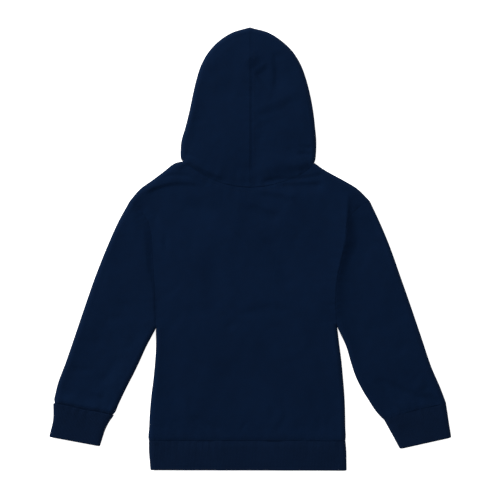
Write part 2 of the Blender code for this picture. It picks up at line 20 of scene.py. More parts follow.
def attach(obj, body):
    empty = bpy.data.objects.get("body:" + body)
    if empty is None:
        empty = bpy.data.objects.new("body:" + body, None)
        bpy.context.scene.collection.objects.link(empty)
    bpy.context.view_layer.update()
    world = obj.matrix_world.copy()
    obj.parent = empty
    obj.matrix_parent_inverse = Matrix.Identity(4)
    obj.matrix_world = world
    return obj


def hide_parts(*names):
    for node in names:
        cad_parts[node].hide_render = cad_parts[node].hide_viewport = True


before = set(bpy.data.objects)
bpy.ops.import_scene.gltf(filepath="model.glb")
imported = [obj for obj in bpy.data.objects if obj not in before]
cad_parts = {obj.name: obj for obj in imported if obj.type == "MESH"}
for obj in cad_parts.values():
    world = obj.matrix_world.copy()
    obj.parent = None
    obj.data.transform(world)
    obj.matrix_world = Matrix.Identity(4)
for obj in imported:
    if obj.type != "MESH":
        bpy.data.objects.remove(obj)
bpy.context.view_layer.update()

MM = 0.001
# ---------------------------------------------------------------- sizes, mm
FLEECE = 2.2        # brushed fleece, one layer
RIB = 3.0           # rib, folded double
SEAM_GAP = 0.08     # between the shells, at every seam
EDGE_HEIGHT = 4.4   # height of the fold line above the table
EDGE_REACH = 7.0    # how far in plan a folded edge rounds over
TOP_EDGE = 9.4      # height of the upper face just inside a folded edge
TOP_FIELD = 7.3     # height of the upper face in the middle of a panel
TOP_HOOD = 10.8     # height of the upper face in the hood
TOP_RIB = 8.4       # height of the upper face on the cuffs and the hem band
TOP_LEAST = 4.75    # the upper layer never sinks below this, away from the edge
LOFT_DECAY = 26.0
FACE_HALF_WIDTH = 37.0
FACE_LOW, FACE_TOP = 108.0, 283.0
FRONT_NECK_Y = 60.0
CENTRE_X = 0.4
RIB_PITCH = 2.1     # one rib and one furrow
RIB_DEPTH = 0.11

# Hood outline: height, left edge, right edge, neck points first.
HOOD = (
    # y_left, x_left, y_right, x_right
    (127.2, -96.5, 125.0, 92.2),
    (131.0, -99.2, 130.0, 93.9),
    (143.3, -99.9, 143.3, 95.1),
    (157.8, -98.3, 157.8, 95.2),
    (173.6, -93.6, 173.6, 93.8),
    (199.4, -87.1, 199.5, 90.8),
    (223.1, -82.2, 223.2, 86.4),
    (247.3, -76.4, 247.2, 80.1),
    (266.5, -69.9, 266.4, 72.8),
    (284.8, -59.4, 285.1, 61.3),
    (299.8, -45.3, 300.3, 45.8),
    (312.3, -26.0, 312.5, 26.5),
    (320.1, 0.4, 320.1, 0.4),
)
# Shoulder lines, neck point to sleeve head.
SHOULDER = (
    # x_left, y_left, x_right, y_right
    (-96.5, 127.2, 92.2, 125.0),
    (-108.6, 124.0, 105.0, 116.0),
    (-123.3, 112.8, 118.1, 108.4),
    (-140.0, 100.2, 134.1, 99.8),
    (-158.2, 87.0, 154.6, 87.4),
    (-172.7, 70.4, 171.8, 70.6),
)
# Armholes, sleeve head to armpit.
ARMHOLE = (
    # x_left, y_left, x_right, y_right
    (-172.7, 70.4, 171.8, 70.6),
    (-157.5, 56.6, 151.6, 55.6),
    (-147.0, 40.5, 141.6, 42.0),
    (-142.0, 20.0, 136.9, 20.0),
    (-140.0, -12.0, 133.6, -10.0),
    (-137.8, -48.0, 126.2, -42.0),
    (-136.6, -84.0, 123.8, -76.0),
    (-135.6, -114.0, 125.3, -110.6),
)
# Sleeves, section by section from the armhole down to the cuff seam.
SLEEVE_LEFT = (
    # x_outer, y_outer, x_inner, y_inner
    (-172.7, 70.4, -135.6, -114.0),
    (-189.4, 40.2, -142.0, -125.8),
    (-206.5, 1.8, -149.4, -139.7),
    (-222.4, -38.2, -158.6, -159.9),
    (-236.9, -79.4, -168.1, -179.8),
    (-251.2, -121.6, -177.4, -197.7),
    (-265.2, -162.4, -186.0, -215.5),
    (-277.6, -196.1, -192.5, -229.4),
    (-282.4, -221.5, -197.1, -238.8),
)
SLEEVE_RIGHT = (
    (171.8, 70.6, 125.3, -110.6),
    (186.9, 38.7, 131.8, -124.3),
    (201.3, 4.1, 139.1, -141.0),
    (216.7, -39.4, 145.7, -163.6),
    (232.0, -83.1, 152.3, -183.1),
    (247.1, -127.7, 161.0, -200.8),
    (261.0, -169.0, 170.6, -216.6),
    (273.9, -198.9, 181.9, -233.6),
    (282.4, -221.3, 194.2, -246.8),
)
CUFF_SEAM_LEFT = ((-282.4, -221.5), (-262.0, -225.0), (-240.6, -230.4),
                  (-218.0, -234.0), (-197.1, -238.8))
CUFF_SEAM_RIGHT = ((282.4, -221.3), (260.0, -226.2), (241.3, -230.6),
                   (217.0, -237.0), (194.2, -246.8))
CUFF_EDGE_LEFT = (
    # x_outer, y_outer, x_inner, y_inner
    (-282.4, -221.5, -197.1, -238.8),
    (-284.0, -244.0, -205.3, -252.0),
    (-290.0, -270.2, -216.2, -284.0),
)
CUFF_EDGE_RIGHT = (
    (282.4, -221.3, 194.2, -246.8),
    (285.1, -245.0, 205.6, -265.8),
    (288.9, -271.3, 217.5, -287.2),
)
# Sides of the body, armpit down to the hem seam.
SIDE = (
    # x_left, y_left, x_right, y_right
    (-135.6, -114.0, 125.3, -110.6),
    (-135.3, -137.5, 128.5, -136.9),
    (-136.7, -161.9, 131.5, -159.9),
    (-139.2, -187.9, 134.1, -187.9),
    (-142.2, -211.9, 136.0, -211.9),
    (-144.5, -239.9, 137.1, -242.0),
    (-145.7, -275.8, 137.6, -275.8),
)
HEM_EDGE = (
    # x_left, y_left, x_right, y_right
    (-145.7, -275.8, 137.6, -275.8),
    (-144.8, -296.1, 138.4, -296.4),
    (-143.3, -318.1, 139.1, -318.8),
)
BACK_NECK_LEFT = ((-96.5, 127.2), (-83.5, 118.8), (-66.0, 107.6),
                  (-47.0, 98.4), (-23.0, 91.9), (0.4, 89.7))
BACK_NECK_RIGHT = ((92.2, 125.0), (83.5, 115.6), (67.0, 105.4),
                   (46.1, 97.6), (22.6, 91.6), (0.4, 89.7))
FRONT_NECK_LEFT = ((-96.5, 127.2), (-84.0, 108.0), (-64.0, 84.0),
                   (-36.0, 66.0), (0.4, 60.0))
FRONT_NECK_RIGHT = ((92.2, 125.0), (82.0, 107.0), (63.0, 83.6),
                    (36.0, 66.0), (0.4, 60.0))

# Creases of the upper layer. Each is a line of plan points, the depth of its
# trough, the half widths of the trough on its left and right as drawn, the
# ridges beside it on the left and right, and the lengths over which its two
# ends die away. A negative depth is a raised fold.
CREASES = (
    # back, under the hood
    (((-132, 103), (-108, 107), (-84, 104)), 0.8, 2.6, 2.6, 0.12, 0.12, 12, 14),
    (((-98, 114), (-78, 101), (-54, 91)), 0.4, 3.0, 4.0, 0.1, 0.0, 8, 14),
    (((34, 92.5), (58, 91.5), (84, 92.5), (112, 92)), 2.1, 4.6, 9.0, 0.05, 0.05, 20, 16),
    (((14, 96.5), (29, 98.8), (43, 100.6), (62, 101.6), (80, 102.6), (93, 105), (107, 108.6)), 1.3, 3.6, 4.4, 0.15, 0.0, 12, 8),
    (((-16, 66), (0, 60), (17, 53), (30, 48), (46, 42)), 2.8, 5.8, 11.0, 0.05, 0.0, 34, 22),
    # back, drape of the panel
    (((-48, 22), (-51, -12), (-54, -52), (-62, -92)), 1.3, 15.6, 13.0, 0.05, 0.05, 30, 40),
    (((-121, 26), (-122, 8), (-119, -10)), 0.8, 4.0, 4.0, 0.12, 0.12, 14, 14),
    (((-88, 8), (-82, -14), (-86, -38)), -0.81, 16.9, 16.9, 0.0, 0.0, 26, 30),
    (((20, 22), (32, 2), (44, -20), (54, -44), (60, -62)), 1.5, 14.0, 10.0, 0.0, 0.0, 20, 20),
    (((-30, -104), (-12, -95), (6, -89), (34, -85), (56, -96)), 0.9, 6.5, 7.8, 0.12, 0.16, 20, 18),
    (((-38, -118), (-22, -106), (2, -112)), 0.6, 5.0, 5.0, 0.16, 0.08, 14, 14),
    (((-96, -84), (-60, -92), (-36, -86)), 0.54, 11.7, 10.4, 0.08, 0.08, 24, 20),
    (((76, -84), (90, -112), (96, -140), (100, -172)), 0.81, 13.0, 11.7, 0.12, 0.12, 22, 34),
    (((-118, -94), (-122, -134), (-116, -176)), 0.63, 13.0, 15.6, 0.12, 0.08, 28, 34),
    (((-60, -172), (-16, -180), (34, -168)), 0.45, 18.2, 20.8, 0.08, 0.08, 34, 40),
    (((-126, -196), (-108, -214), (-112, -240)), 0.81, 9.1, 10.4, 0.12, 0.12, 18, 22),
    # puckers over the hem
    (((-88, -236), (-74, -247), (-58, -254), (-40, -261)), 0.7, 5.0, 6.0, 0.1, 0.08, 16, 12),
    (((34, -264), (44, -254), (52, -242), (58, -230)), 0.6, 5.0, 6.0, 0.1, 0.1, 10, 14),
    (((-130, -262), (-122, -250), (-118, -238)), 0.4, 4.5, 5.0, 0.08, 0.06, 8, 12),
    (((96, -266), (101, -252), (98, -236)), 0.4, 4.5, 5.0, 0.08, 0.06, 8, 12),
    (((-14, -268), (-10, -256), (-2, -246)), 0.5, 3.0, 3.0, 0.08, 0.08, 8, 10),
    # right armhole: the fold runs on up the back beside the seam
    (((150, 62), (158, 58), (170, 50)), 0.8, 4.4, 5.0, 0.1, 0.1, 8, 10),
    (((112, 84), (128, 70), (138, 54)), 0.54, 7.8, 7.8, 0.08, 0.08, 16, 12),
    # left armhole
    (((-168, 56), (-158, 40), (-152, 14)), 0.72, 7.8, 5.2, 0.08, 0.16, 14, 20),
    (((-130, 62), (-136, 44), (-137, 22)), 0.5, 4.0, 5.0, 0.08, 0.08, 14, 18),
    # left sleeve
    (((-204, -6), (-184, -22), (-166, -42)), 0.81, 14.3, 15.6, 0.12, 0.12, 26, 30),
    (((-172, -70), (-184, -86), (-206, -94)), 0.63, 9.1, 10.4, 0.16, 0.12, 18, 22),
    (((-152, -110), (-166, -128), (-170, -150)), 0.72, 7.8, 7.8, 0.12, 0.12, 14, 18),
    (((-246, -122), (-224, -132), (-200, -128)), 0.54, 7.8, 9.1, 0.16, 0.08, 18, 20),
    (((-188, -150), (-198, -172), (-214, -190), (-224, -200)), 0.9, 6.5, 7.8, 0.16, 0.2, 16, 18),
    (((-260, -168), (-242, -174), (-222, -172)), 0.8, 5.0, 5.0, 0.12, 0.2, 14, 16),
    (((-232, -206), (-218, -214), (-204, -212)), 0.7, 4.0, 4.0, 0.2, 0.08, 10, 12),
    # right sleeve
    (((172, 18), (170, -20), (164, -58)), -0.81, 15.6, 15.6, 0.0, 0.0, 30, 34),
    (((188, 30), (196, -8), (206, -40)), 0.54, 10.4, 10.4, 0.12, 0.08, 22, 26),
    (((150, -92), (156, -122), (170, -150)), 0.72, 7.8, 7.8, 0.12, 0.12, 18, 22),
    (((214, -66), (204, -94), (200, -126)), 0.63, 11.7, 11.7, 0.12, 0.08, 26, 28),
    (((240, -130), (222, -142), (196, -146)), 0.54, 9.1, 9.1, 0.08, 0.12, 18, 22),
    (((176, -186), (206, -197), (229, -208), (252, -213), (276, -222)), 1.6, 6.0, 7.0, 0.1, 0.15, 18, 8),
    (((186, -196), (200, -206), (222, -222)), 0.8, 4.0, 4.0, 0.12, 0.2, 12, 12),
    (((262, -196), (250, -202), (236, -200)), 0.7, 4.0, 4.0, 0.16, 0.12, 10, 14),
    # hood, base
    (((-96, 140), (-82, 134), (-70, 124)), 0.8, 3.0, 3.0, 0.16, 0.16, 8, 14),
    (((62, 134), (78, 138), (92, 134)), 0.9, 3.4, 3.4, 0.16, 0.12, 14, 8),
    (((68, 152), (80, 146), (93, 148)), 0.8, 3.0, 3.0, 0.16, 0.12, 12, 8),
    (((-26, 103), (-8, 106), (12, 104)), -1.0, 7.0, 7.0, 0.0, 0.0, 14, 14),
    # hood, body
    (((-72, 214), (-62, 198), (-52, 176), (-46, 150)), 0.81, 11.7, 14.3, 0.12, 0.12, 20, 26),
    (((-84, 190), (-72, 186), (-60, 192)), 0.6, 5.0, 5.0, 0.12, 0.08, 12, 14),
    (((10, 170), (13, 158), (11, 142)), 0.72, 6.5, 7.8, 0.08, 0.16, 12, 14),
    (((38, 146), (52, 152), (68, 150)), -0.54, 11.7, 11.7, 0.0, 0.0, 18, 20),
    # hood, crown
    (((36, 288), (38, 268), (38.5, 242), (33, 220), (23, 206)), 1.6, 12.0, 5.0, 0.0, 0.1, 14, 44),
    (((-22, 292), (-26, 272), (-22, 250)), 0.35, 8.0, 8.0, 0.0, 0.0, 14, 18),
    (((-40, 280), (-46, 262), (-44, 240)), 0.4, 9.0, 9.0, 0.0, 0.0, 14, 20),
    (((52, 278), (58, 258), (56, 238)), 0.4, 9.0, 9.0, 0.0, 0.0, 14, 20),
)
# Shallow troughs of the layer that lies on the table.
CREASES_UNDER = (
    (((-86, 66), (-60, 44), (-20, 36), (16, 44)), 0.8, 5.0, 6.0, 0.0, 0.0, 20, 20),
    (((72, 60), (48, 36), (22, 24)), 0.7, 5.0, 5.0, 0.0, 0.0, 18, 20),
    (((-104, 30), (-92, -6), (-96, -50)), 0.7, 7.0, 7.0, 0.0, 0.0, 26, 34),
    (((88, 22), (96, -14), (90, -58)), 0.7, 7.0, 7.0, 0.0, 0.0, 26, 34),
    (((-30, -40), (4, -58), (44, -52)), 0.6, 8.0, 8.0, 0.0, 0.0, 28, 30),
    (((-70, -120), (-20, -132), (20, -122)), 0.6, 8.0, 9.0, 0.0, 0.0, 30, 30),
    (((60, -130), (74, -170), (70, -214)), 0.6, 7.0, 7.0, 0.0, 0.0, 26, 34),
    (((-112, -150), (-104, -196), (-110, -232)), 0.7, 6.0, 7.0, 0.0, 0.0, 26, 28),
    (((-60, -236), (-46, -252), (-40, -266)), 0.8, 4.0, 4.0, 0.0, 0.0, 14, 8),
    (((24, -268), (34, -252), (40, -236)), 0.8, 4.0, 4.0, 0.0, 0.0, 8, 14),
    (((-158, 20), (-166, -20), (-160, -60)), 0.8, 6.0, 6.0, 0.0, 0.0, 22, 30),
    (((154, 24), (160, -20), (152, -62)), 0.8, 6.0, 6.0, 0.0, 0.0, 22, 30),
    (((-190, -146), (-212, -160), (-244, -158)), 0.8, 5.0, 6.0, 0.0, 0.0, 16, 22),
    (((-206, -196), (-232, -204), (-262, -200)), 0.8, 4.0, 5.0, 0.0, 0.0, 14, 14),
    (((180, -176), (206, -188), (236, -186)), 0.8, 5.0, 5.0, 0.0, 0.0, 16, 20),
    (((200, -214), (226, -214), (258, -206)), 0.8, 4.0, 5.0, 0.0, 0.0, 14, 14),
    (((-84, 138), (-66, 150), (-52, 172)), 0.8, 5.0, 5.0, 0.0, 0.0, 12, 22),
    (((82, 136), (66, 148), (54, 168)), 0.8, 5.0, 5.0, 0.0, 0.0, 12, 22),
    (((-70, 232), (-54, 240), (-40, 262)), 0.7, 5.0, 5.0, 0.0, 0.0, 14, 16),
    (((72, 226), (58, 238), (42, 260)), 0.7, 5.0, 5.0, 0.0, 0.0, 14, 16),
)

# Zones of short creases: centre, half size, direction in degrees and its fan,
# how many, shortest and longest, and how deep.
ZONES = (
    (-104.0, -88.0, 26.0, 34.0, 62.0, 26.0, 6, 30.0, 62.0, 0.55),    # under the left arm
    (96.0, -88.0, 26.0, 34.0, 118.0, 26.0, 6, 30.0, 62.0, 0.55),     # under the right arm
    (-112.0, 66.0, 24.0, 26.0, -40.0, 30.0, 4, 26.0, 52.0, 0.4),     # left shoulder
    (104.0, 70.0, 24.0, 22.0, 50.0, 30.0, 4, 26.0, 52.0, 0.4),       # right shoulder
    (0.0, 20.0, 84.0, 44.0, 95.0, 40.0, 8, 34.0, 80.0, 0.42),        # upper back
    (-4.0, -130.0, 100.0, 52.0, 80.0, 60.0, 10, 34.0, 84.0, 0.42),   # lower back
    (0.0, -232.0, 122.0, 22.0, 90.0, 28.0, 13, 20.0, 46.0, 0.6),     # above the hem
    (-178.0, -20.0, 22.0, 50.0, -66.0, 24.0, 5, 30.0, 66.0, 0.5),    # left sleeve
    (-208.0, -128.0, 24.0, 34.0, -22.0, 34.0, 6, 26.0, 56.0, 0.6),
    (-232.0, -200.0, 30.0, 18.0, 66.0, 34.0, 7, 16.0, 34.0, 0.6),
    (176.0, -24.0, 22.0, 50.0, 66.0, 24.0, 5, 30.0, 66.0, 0.5),      # right sleeve
    (200.0, -128.0, 24.0, 34.0, 24.0, 34.0, 6, 26.0, 56.0, 0.6),
    (234.0, -204.0, 30.0, 18.0, 112.0, 34.0, 7, 16.0, 34.0, 0.6),
    (-52.0, 150.0, 34.0, 36.0, 74.0, 34.0, 7, 22.0, 54.0, 0.5),      # hood
    (50.0, 160.0, 32.0, 40.0, 100.0, 40.0, 7, 22.0, 54.0, 0.5),
    (-34.0, 252.0, 26.0, 30.0, 60.0, 34.0, 6, 20.0, 44.0, 0.6),
    (36.0, 246.0, 26.0, 34.0, 112.0, 34.0, 5, 20.0, 44.0, 0.6),
)

# Places where the cloth on the left of a line, as drawn, lies higher than on its
# right: the points, the drop, the width it takes, how far both sides take to come
# back to level, and the lengths over which the two ends die away.
DROPS = (
    (((-6, 259), (5, 269), (17, 281)), 3.6, 19.0, 14.0, 22.0, 10, 12),      # crown
    (((4, 251.5), (14, 258), (28, 267)), 2.4, 10.5, 14.0, 14.0, 8, 10),
    (((3, 196), (22, 201), (40, 207), (58, 217), (82, 223)), 1.9, 15.0, 18.0, 30.0, 10, 26),
    (((4, 176), (20, 182), (40, 194)), 0.8, 10.0, 14.0, 20.0, 8, 16),
    (((-97, 128), (-84, 121), (-72, 114.5), (-58, 108), (-46, 103), (-32, 100)),
     2.7, 8.0, 12.0, 10.0, 6, 18),                                          # neck
    (((-154, 79), (-136, 88), (-113, 94), (-88, 94.5), (-52, 90)), 2.3, 6.6, 12.0, 26.0, 16, 56),
    (((-108, 66), (-74, 68), (-38, 65)), 1.8, 22.0, 24.0, 52.0, 22, 22),    # back
    (((4, 82), (30, 79.5), (50, 76), (64, 67)), 2.0, 10.0, 13.0, 30.0, 16, 12),
)

# The fold beside the right armhole: the back rises to it and the cloth drops off
# beyond it. It follows the seam and then runs straight on up the back.
ARMHOLE_FOLD = ((123.4, -104.0), (122.0, -76.0), (124.0, -42.0), (131.0, -9.0), (136.2, 14.0),
                (137.8, 35.0), (139.0, 52.0), (140.2, 68.0), (140.6, 84.0))
FOLD_AT = (0.0, 14.0, 31.0, 60.0, 90.0, 119.0, 133.0, 148.0, 162.0, 177.0, 189.0)
FOLD_DROP = (0.0, 3.1, 5.1, 6.4, 8.0, 11.4, 10.8, 8.2, 4.0, 2.0, 0.0)
FOLD_WIDTH = (12.5, 12.5, 12.5, 10.0, 11.4, 13.5, 11.3, 8.4, 4.6, 3.8, 3.8)

# Grid steps beside a seam or a folded edge, and the cells between them.
STEPS = (0.0, 0.14, 0.4, 0.78, 1.28, 1.92, 2.72, 3.72, 4.9, 6.2, 7.7)
CELL_BACK = 1.75
CELL_FRONT = 2.7
CELL_SLEEVE, CELL_SLEEVE_UNDER = 1.45, 2.3
CELL_HOOD, CELL_HOOD_UNDER = 1.25, 1.7
RIB_STEPS = tuple(EDGE_REACH * (1 - math.cos(k / 11.0)) for k in range(17))
CELL_RIB = 0.36
CELL_RIB_UNDER = 0.5


# ------------------------------------------------------------------ curves
class Curve:
    """A smooth curve through points (centripetal Catmull-Rom), by length. With
    no steps it is the straight lines between them."""

    def __init__(self, points, steps=24):
        p = np.array(points, float)
        if len(p) == 2 or not steps:
            self.p = p
        else:
            p = np.vstack([2 * p[0] - p[1], p, 2 * p[-1] - p[-2]])
            out = []
            for k in range(1, len(p) - 2):
                a, b, c, d = p[k - 1], p[k], p[k + 1], p[k + 2]
                t1 = math.sqrt(np.linalg.norm(b - a))
                t2 = t1 + math.sqrt(np.linalg.norm(c - b))
                t3 = t2 + math.sqrt(np.linalg.norm(d - c))
                t = np.linspace(t1, t2, steps, endpoint=False)[:, None]
                ab = (t1 - t) / t1 * a + t / t1 * b
                bc = (t2 - t) / (t2 - t1) * b + (t - t1) / (t2 - t1) * c
                cd = (t3 - t) / (t3 - t2) * c + (t - t2) / (t3 - t2) * d
                e = (t2 - t) / t2 * ab + t / t2 * bc
                f = (t3 - t) / (t3 - t1) * bc + (t - t1) / (t3 - t1) * cd
                out.append((t2 - t) / (t2 - t1) * e + (t - t1) / (t2 - t1) * f)
            out.append(p[-2][None])
            self.p = np.vstack(out)
        step = np.linalg.norm(np.diff(self.p, axis=0), axis=1)
        self.s = np.concatenate([[0.0], np.cumsum(step)])
        self.length = float(self.s[-1])

    def at(self, s):
        s = np.asarray(s, float)
        return np.stack([np.interp(s, self.s, self.p[:, k]) for k in (0, 1)], axis=-1)

    def by(self, step):
        return self.at(np.linspace(0, self.length, max(2, int(self.length / step) + 1)))


def columns(rows, *names):
    return [tuple(r[k] for k in names) for r in rows]


def stations(length, cell, first=True, last=True, steps=STEPS):
    """Lengths along a line, close together at the ends that ask for it. The
    number of cells is even, because the inner face has one for every two."""
    a = [s for s in steps] if first else [0.0]
    b = [length - s for s in reversed(steps)] if last else [length]
    n = 2 * max(1, int(round((b[0] - a[-1]) / cell / 2)))
    return np.array(a + list(np.linspace(a[-1], b[0], n + 1))[1:-1] + b)


def spread(n, first=True, last=True, length=100.0, steps=STEPS):
    """n + 1 shares from 0 to 1 with the same close steps at the ends."""
    a = [s for s in steps] if first else [0.0]
    b = [length - s for s in reversed(steps)] if last else [length]
    mid = n - (len(a) - 1) - (len(b) - 1)
    return np.array(a + list(np.linspace(a[-1], b[0], mid + 1))[1:-1] + b) / length


def smooth(x, lo, hi):
    """0 below lo, 1 above hi, and a soft step between them."""
    t = np.clip((x - lo) / (hi - lo), 0, 1)
    return t * t * (3 - 2 * t)


def lengths(line):
    s = np.concatenate([[0], np.cumsum(np.linalg.norm(np.diff(line, axis=0), axis=1))])
    return s / s[-1]


def patch(bottom, top, left, right):
    """Points between four boundary lines, and where they lie across and along:
    index 0 runs bottom/top, 1 left/right. Without a top the patch ends in a point."""
    sb, tl, tr = lengths(bottom), lengths(left), lengths(right)
    if top is None:
        top = np.repeat(left[-1:], len(bottom), axis=0)
        st = sb
    else:
        st = lengths(top)
    den = 1 - (st - sb)[:, None] * (tr - tl)[None]
    x = ((1 - tl)[None] * sb[:, None] + tl[None] * st[:, None]) / den
    y = ((1 - sb)[:, None] * tl[None] + sb[:, None] * tr[None]) / den
    X, Y = x[..., None], y[..., None]
    grid = ((1 - X) * left[None] + X * right[None]
            + (1 - Y) * bottom[:, None] + Y * top[:, None]
            - (1 - X) * (1 - Y) * bottom[0] - X * (1 - Y) * bottom[-1]
            - (1 - X) * Y * top[0] - X * Y * top[-1])
    return grid, x, y


class Line:
    """A line in plan that answers how far points are from it, on which side, and
    where along it."""

    def __init__(self, points, step=2.0, steps=24):
        c = points if isinstance(points, Curve) else Curve(points, steps)
        self.p = c.by(step)
        d = np.diff(self.p, axis=0)
        self.ab, self.ll = d, (d ** 2).sum(axis=1)
        self.s = np.concatenate([[0], np.cumsum(np.sqrt(self.ll))])
        self.length = float(self.s[-1])
        self.lo, self.hi = self.p.min(axis=0), self.p.max(axis=0)

    def near(self, p, reach):
        """Distance (large where out of reach), side, length along, tangent."""
        dist = np.full(len(p), 1e3)
        side = np.ones(len(p))
        s = np.zeros(len(p))
        tan = np.zeros((len(p), 2))
        pick = np.flatnonzero(((p > self.lo - reach) & (p < self.hi + reach)).all(axis=1))
        a = self.p[:-1]
        for k in range(0, len(pick), 6000):
            ids = pick[k:k + 6000]
            q = p[ids]
            v = q[:, None] - a[None]
            t = np.clip((v * self.ab).sum(axis=2) / self.ll, 0, 1)
            w = v - t[..., None] * self.ab
            dd = (w ** 2).sum(axis=2)
            m = dd.argmin(axis=1)
            r = np.arange(len(ids))
            dist[ids] = np.sqrt(dd[r, m])
            s[ids] = self.s[m] + t[r, m] * np.sqrt(self.ll[m])
            u = self.ab[m] / np.sqrt(self.ll[m])[:, None]
            tan[ids] = u
            vv = v[r, m]
            side[ids] = np.where(u[:, 0] * vv[:, 1] - u[:, 1] * vv[:, 0] >= 0, 1.0, -1.0)
        return dist, side, s, tan


hood_edge_l = Curve(columns(HOOD, 1, 0))
hood_edge_r = Curve(columns(HOOD, 3, 2))
shoulder_l = Curve(columns(SHOULDER, 0, 1))
shoulder_r = Curve(columns(SHOULDER, 2, 3))
armhole_l = Curve(columns(ARMHOLE, 0, 1))
armhole_r = Curve(columns(ARMHOLE, 2, 3))
side_l = Curve(columns(SIDE, 0, 1))
side_r = Curve(columns(SIDE, 2, 3))
outer_l = Curve(columns(SLEEVE_LEFT, 0, 1))
inner_l = Curve(columns(SLEEVE_LEFT, 2, 3))
outer_r = Curve(columns(SLEEVE_RIGHT, 0, 1))
inner_r = Curve(columns(SLEEVE_RIGHT, 2, 3))
cuff_outer_l = Curve(columns(CUFF_EDGE_LEFT, 0, 1))
cuff_inner_l = Curve(columns(CUFF_EDGE_LEFT, 2, 3))
cuff_outer_r = Curve(columns(CUFF_EDGE_RIGHT, 0, 1))
cuff_inner_r = Curve(columns(CUFF_EDGE_RIGHT, 2, 3))
cuff_seam_l = Curve(CUFF_SEAM_LEFT)
cuff_seam_r = Curve(CUFF_SEAM_RIGHT)
cuff_end_l = Curve([cuff_outer_l.p[-1], cuff_inner_l.p[-1]])
cuff_end_r = Curve([cuff_outer_r.p[-1], cuff_inner_r.p[-1]])
hem_l = Curve(columns(HEM_EDGE, 0, 1))
hem_r = Curve(columns(HEM_EDGE, 2, 3))
hem_seam = Curve([hem_l.p[0], hem_r.p[0]])
hem_end = Curve([hem_l.p[-1], hem_r.p[-1]])
back_neck_l = Curve(BACK_NECK_LEFT)
back_neck_r = Curve(BACK_NECK_RIGHT)
front_neck_l = Curve(FRONT_NECK_LEFT)
front_neck_r = Curve(FRONT_NECK_RIGHT)
back_neck = Curve(np.vstack([back_neck_l.p, back_neck_r.p[::-1][1:]]), steps=0)
front_neck = Curve(np.vstack([front_neck_l.p, front_neck_r.p[::-1][1:]]), steps=0)
apex = hood_edge_l.p[-1]
hood_seam = Curve([(CENTRE_X, BACK_NECK_LEFT[-1][1]), tuple(apex)])
hood_seam_under = Curve([(CENTRE_X, FACE_TOP), tuple(apex)])
front_seam = Curve([(CENTRE_X, FRONT_NECK_Y), (CENTRE_X, FACE_LOW)])


def face_edge(sign):
    t = np.linspace(0, 1, 160)
    bow = FACE_HALF_WIDTH * np.abs(np.sin(np.pi * t ** 1.3)) ** 0.65
    p = np.column_stack([CENTRE_X + sign * bow, FACE_LOW + (FACE_TOP - FACE_LOW) * t])
    p[-1, 0] = CENTRE_X
    return Curve(p, steps=0)


face_l, face_r = face_edge(-1), face_edge(1)

FOLDED = [hood_edge_l, hood_edge_r, shoulder_l, shoulder_r, side_l, side_r,
          outer_l, inner_l, outer_r, inner_r, cuff_outer_l, cuff_inner_l,
          cuff_outer_r, cuff_inner_r, hem_l, hem_r]
ALL = np.vstack([c.p for c in FOLDED])
CENTRE = (ALL.min(axis=0) + ALL.max(axis=0)) / 2


class Outline:
    """Distance from plan points to the folded outline, and the way inward."""

    def __init__(self, curves, step=0.5):
        q = [c.by(step) for c in curves]
        self.a = np.vstack([x[:-1] for x in q])
        self.b = np.vstack([x[1:] for x in q])
        self.tree = KDTree(len(self.a))
        for k, m in enumerate((self.a + self.b) / 2):
            self.tree.insert((m[0], m[1], 0.0), k)
        self.tree.balance()

    def near(self, p):
        find = self.tree.find
        ids = np.array([find((x, y, 0.0))[1] for x, y in p.tolist()])
        best = np.full(len(p), 1e9)
        vec = np.zeros((len(p), 2))
        for shift in (0, -1, 1):
            k = np.clip(ids + shift, 0, len(self.a) - 1)
            a, ab = self.a[k], self.b[k] - self.a[k]
            t = np.clip(((p - a) * ab).sum(axis=1) / (ab ** 2).sum(axis=1), 0, 1)
            v = p - (a + t[:, None] * ab)
            d = np.hypot(v[:, 0], v[:, 1])
            new = d < best
            best[new] = d[new]
            vec[new] = v[new]
        away = vec / np.maximum(best, 1e-6)[:, None]
        away[best < 0.05] = 0
        return best, away


outline = Outline(FOLDED)


# ------------------------------------------------------------------- noise
def ripple(p, seed, shortest, longest, n=48, stretch=(1.0, 1.0)):
    """A smooth random field over plan points with unit deviation."""
    r = np.random.default_rng(seed)
    wave = shortest * (longest / shortest) ** r.random(n)
    turn = r.random(n) * 2 * np.pi
    k = 2 * np.pi / wave
    phase = r.random(n) * 2 * np.pi
    out = np.zeros(len(p))
    for a, b, c in zip(k * np.cos(turn) * stretch[0], k * np.sin(turn) * stretch[1], phase):
        out += np.cos(p[:, 0] * a + p[:, 1] * b + c)
    return out * math.sqrt(2.0 / n)


def wander(s, seed, shortest, longest, n=14):
    """The same along a line."""
    r = np.random.default_rng(seed)
    wave = shortest * (longest / shortest) ** r.random(n)
    phase = r.random(n) * 2 * np.pi
    out = np.zeros(len(s))
    for w, c in zip(wave, phase):
        out += np.cos(2 * np.pi * s / w + c)
    return out * math.sqrt(2.0 / n)


def crease(p, row):
    pts, depth, left, right, ridge_l, ridge_r, end0, end1 = row
    line = Line(pts, 2.5)
    dist, side, s, _ = line.near(p, 4 * max(left, right))
    out = np.zeros(len(p))
    on = dist < 1e2
    dist, side, s = dist[on], side[on], s[on]
    q = dist / np.where(side > 0, left, right)
    env = smooth(s, 0, end0) * smooth(line.length - s, 0, end1)
    env = env * (1 + 0.12 * np.sin(s / 7.0 + depth * 9))
    side_ridge = np.where(side > 0, ridge_l, ridge_r)
    out[on] = env * (-depth * np.exp(-q * q) + side_ridge * np.exp(-((q - 2.0) / 0.85) ** 2))
    return out


def roll(a, depth, width):
    """The face turns down into a seam: a quarter ellipse."""
    t = np.clip(a / width, 0, 1)
    return -depth * (1 - np.sqrt(np.clip(1 - (1 - t) ** 2, 0, 1)))


def groove(a, at, depth, width):
    return -depth * np.exp(-((a - at) / width) ** 2)


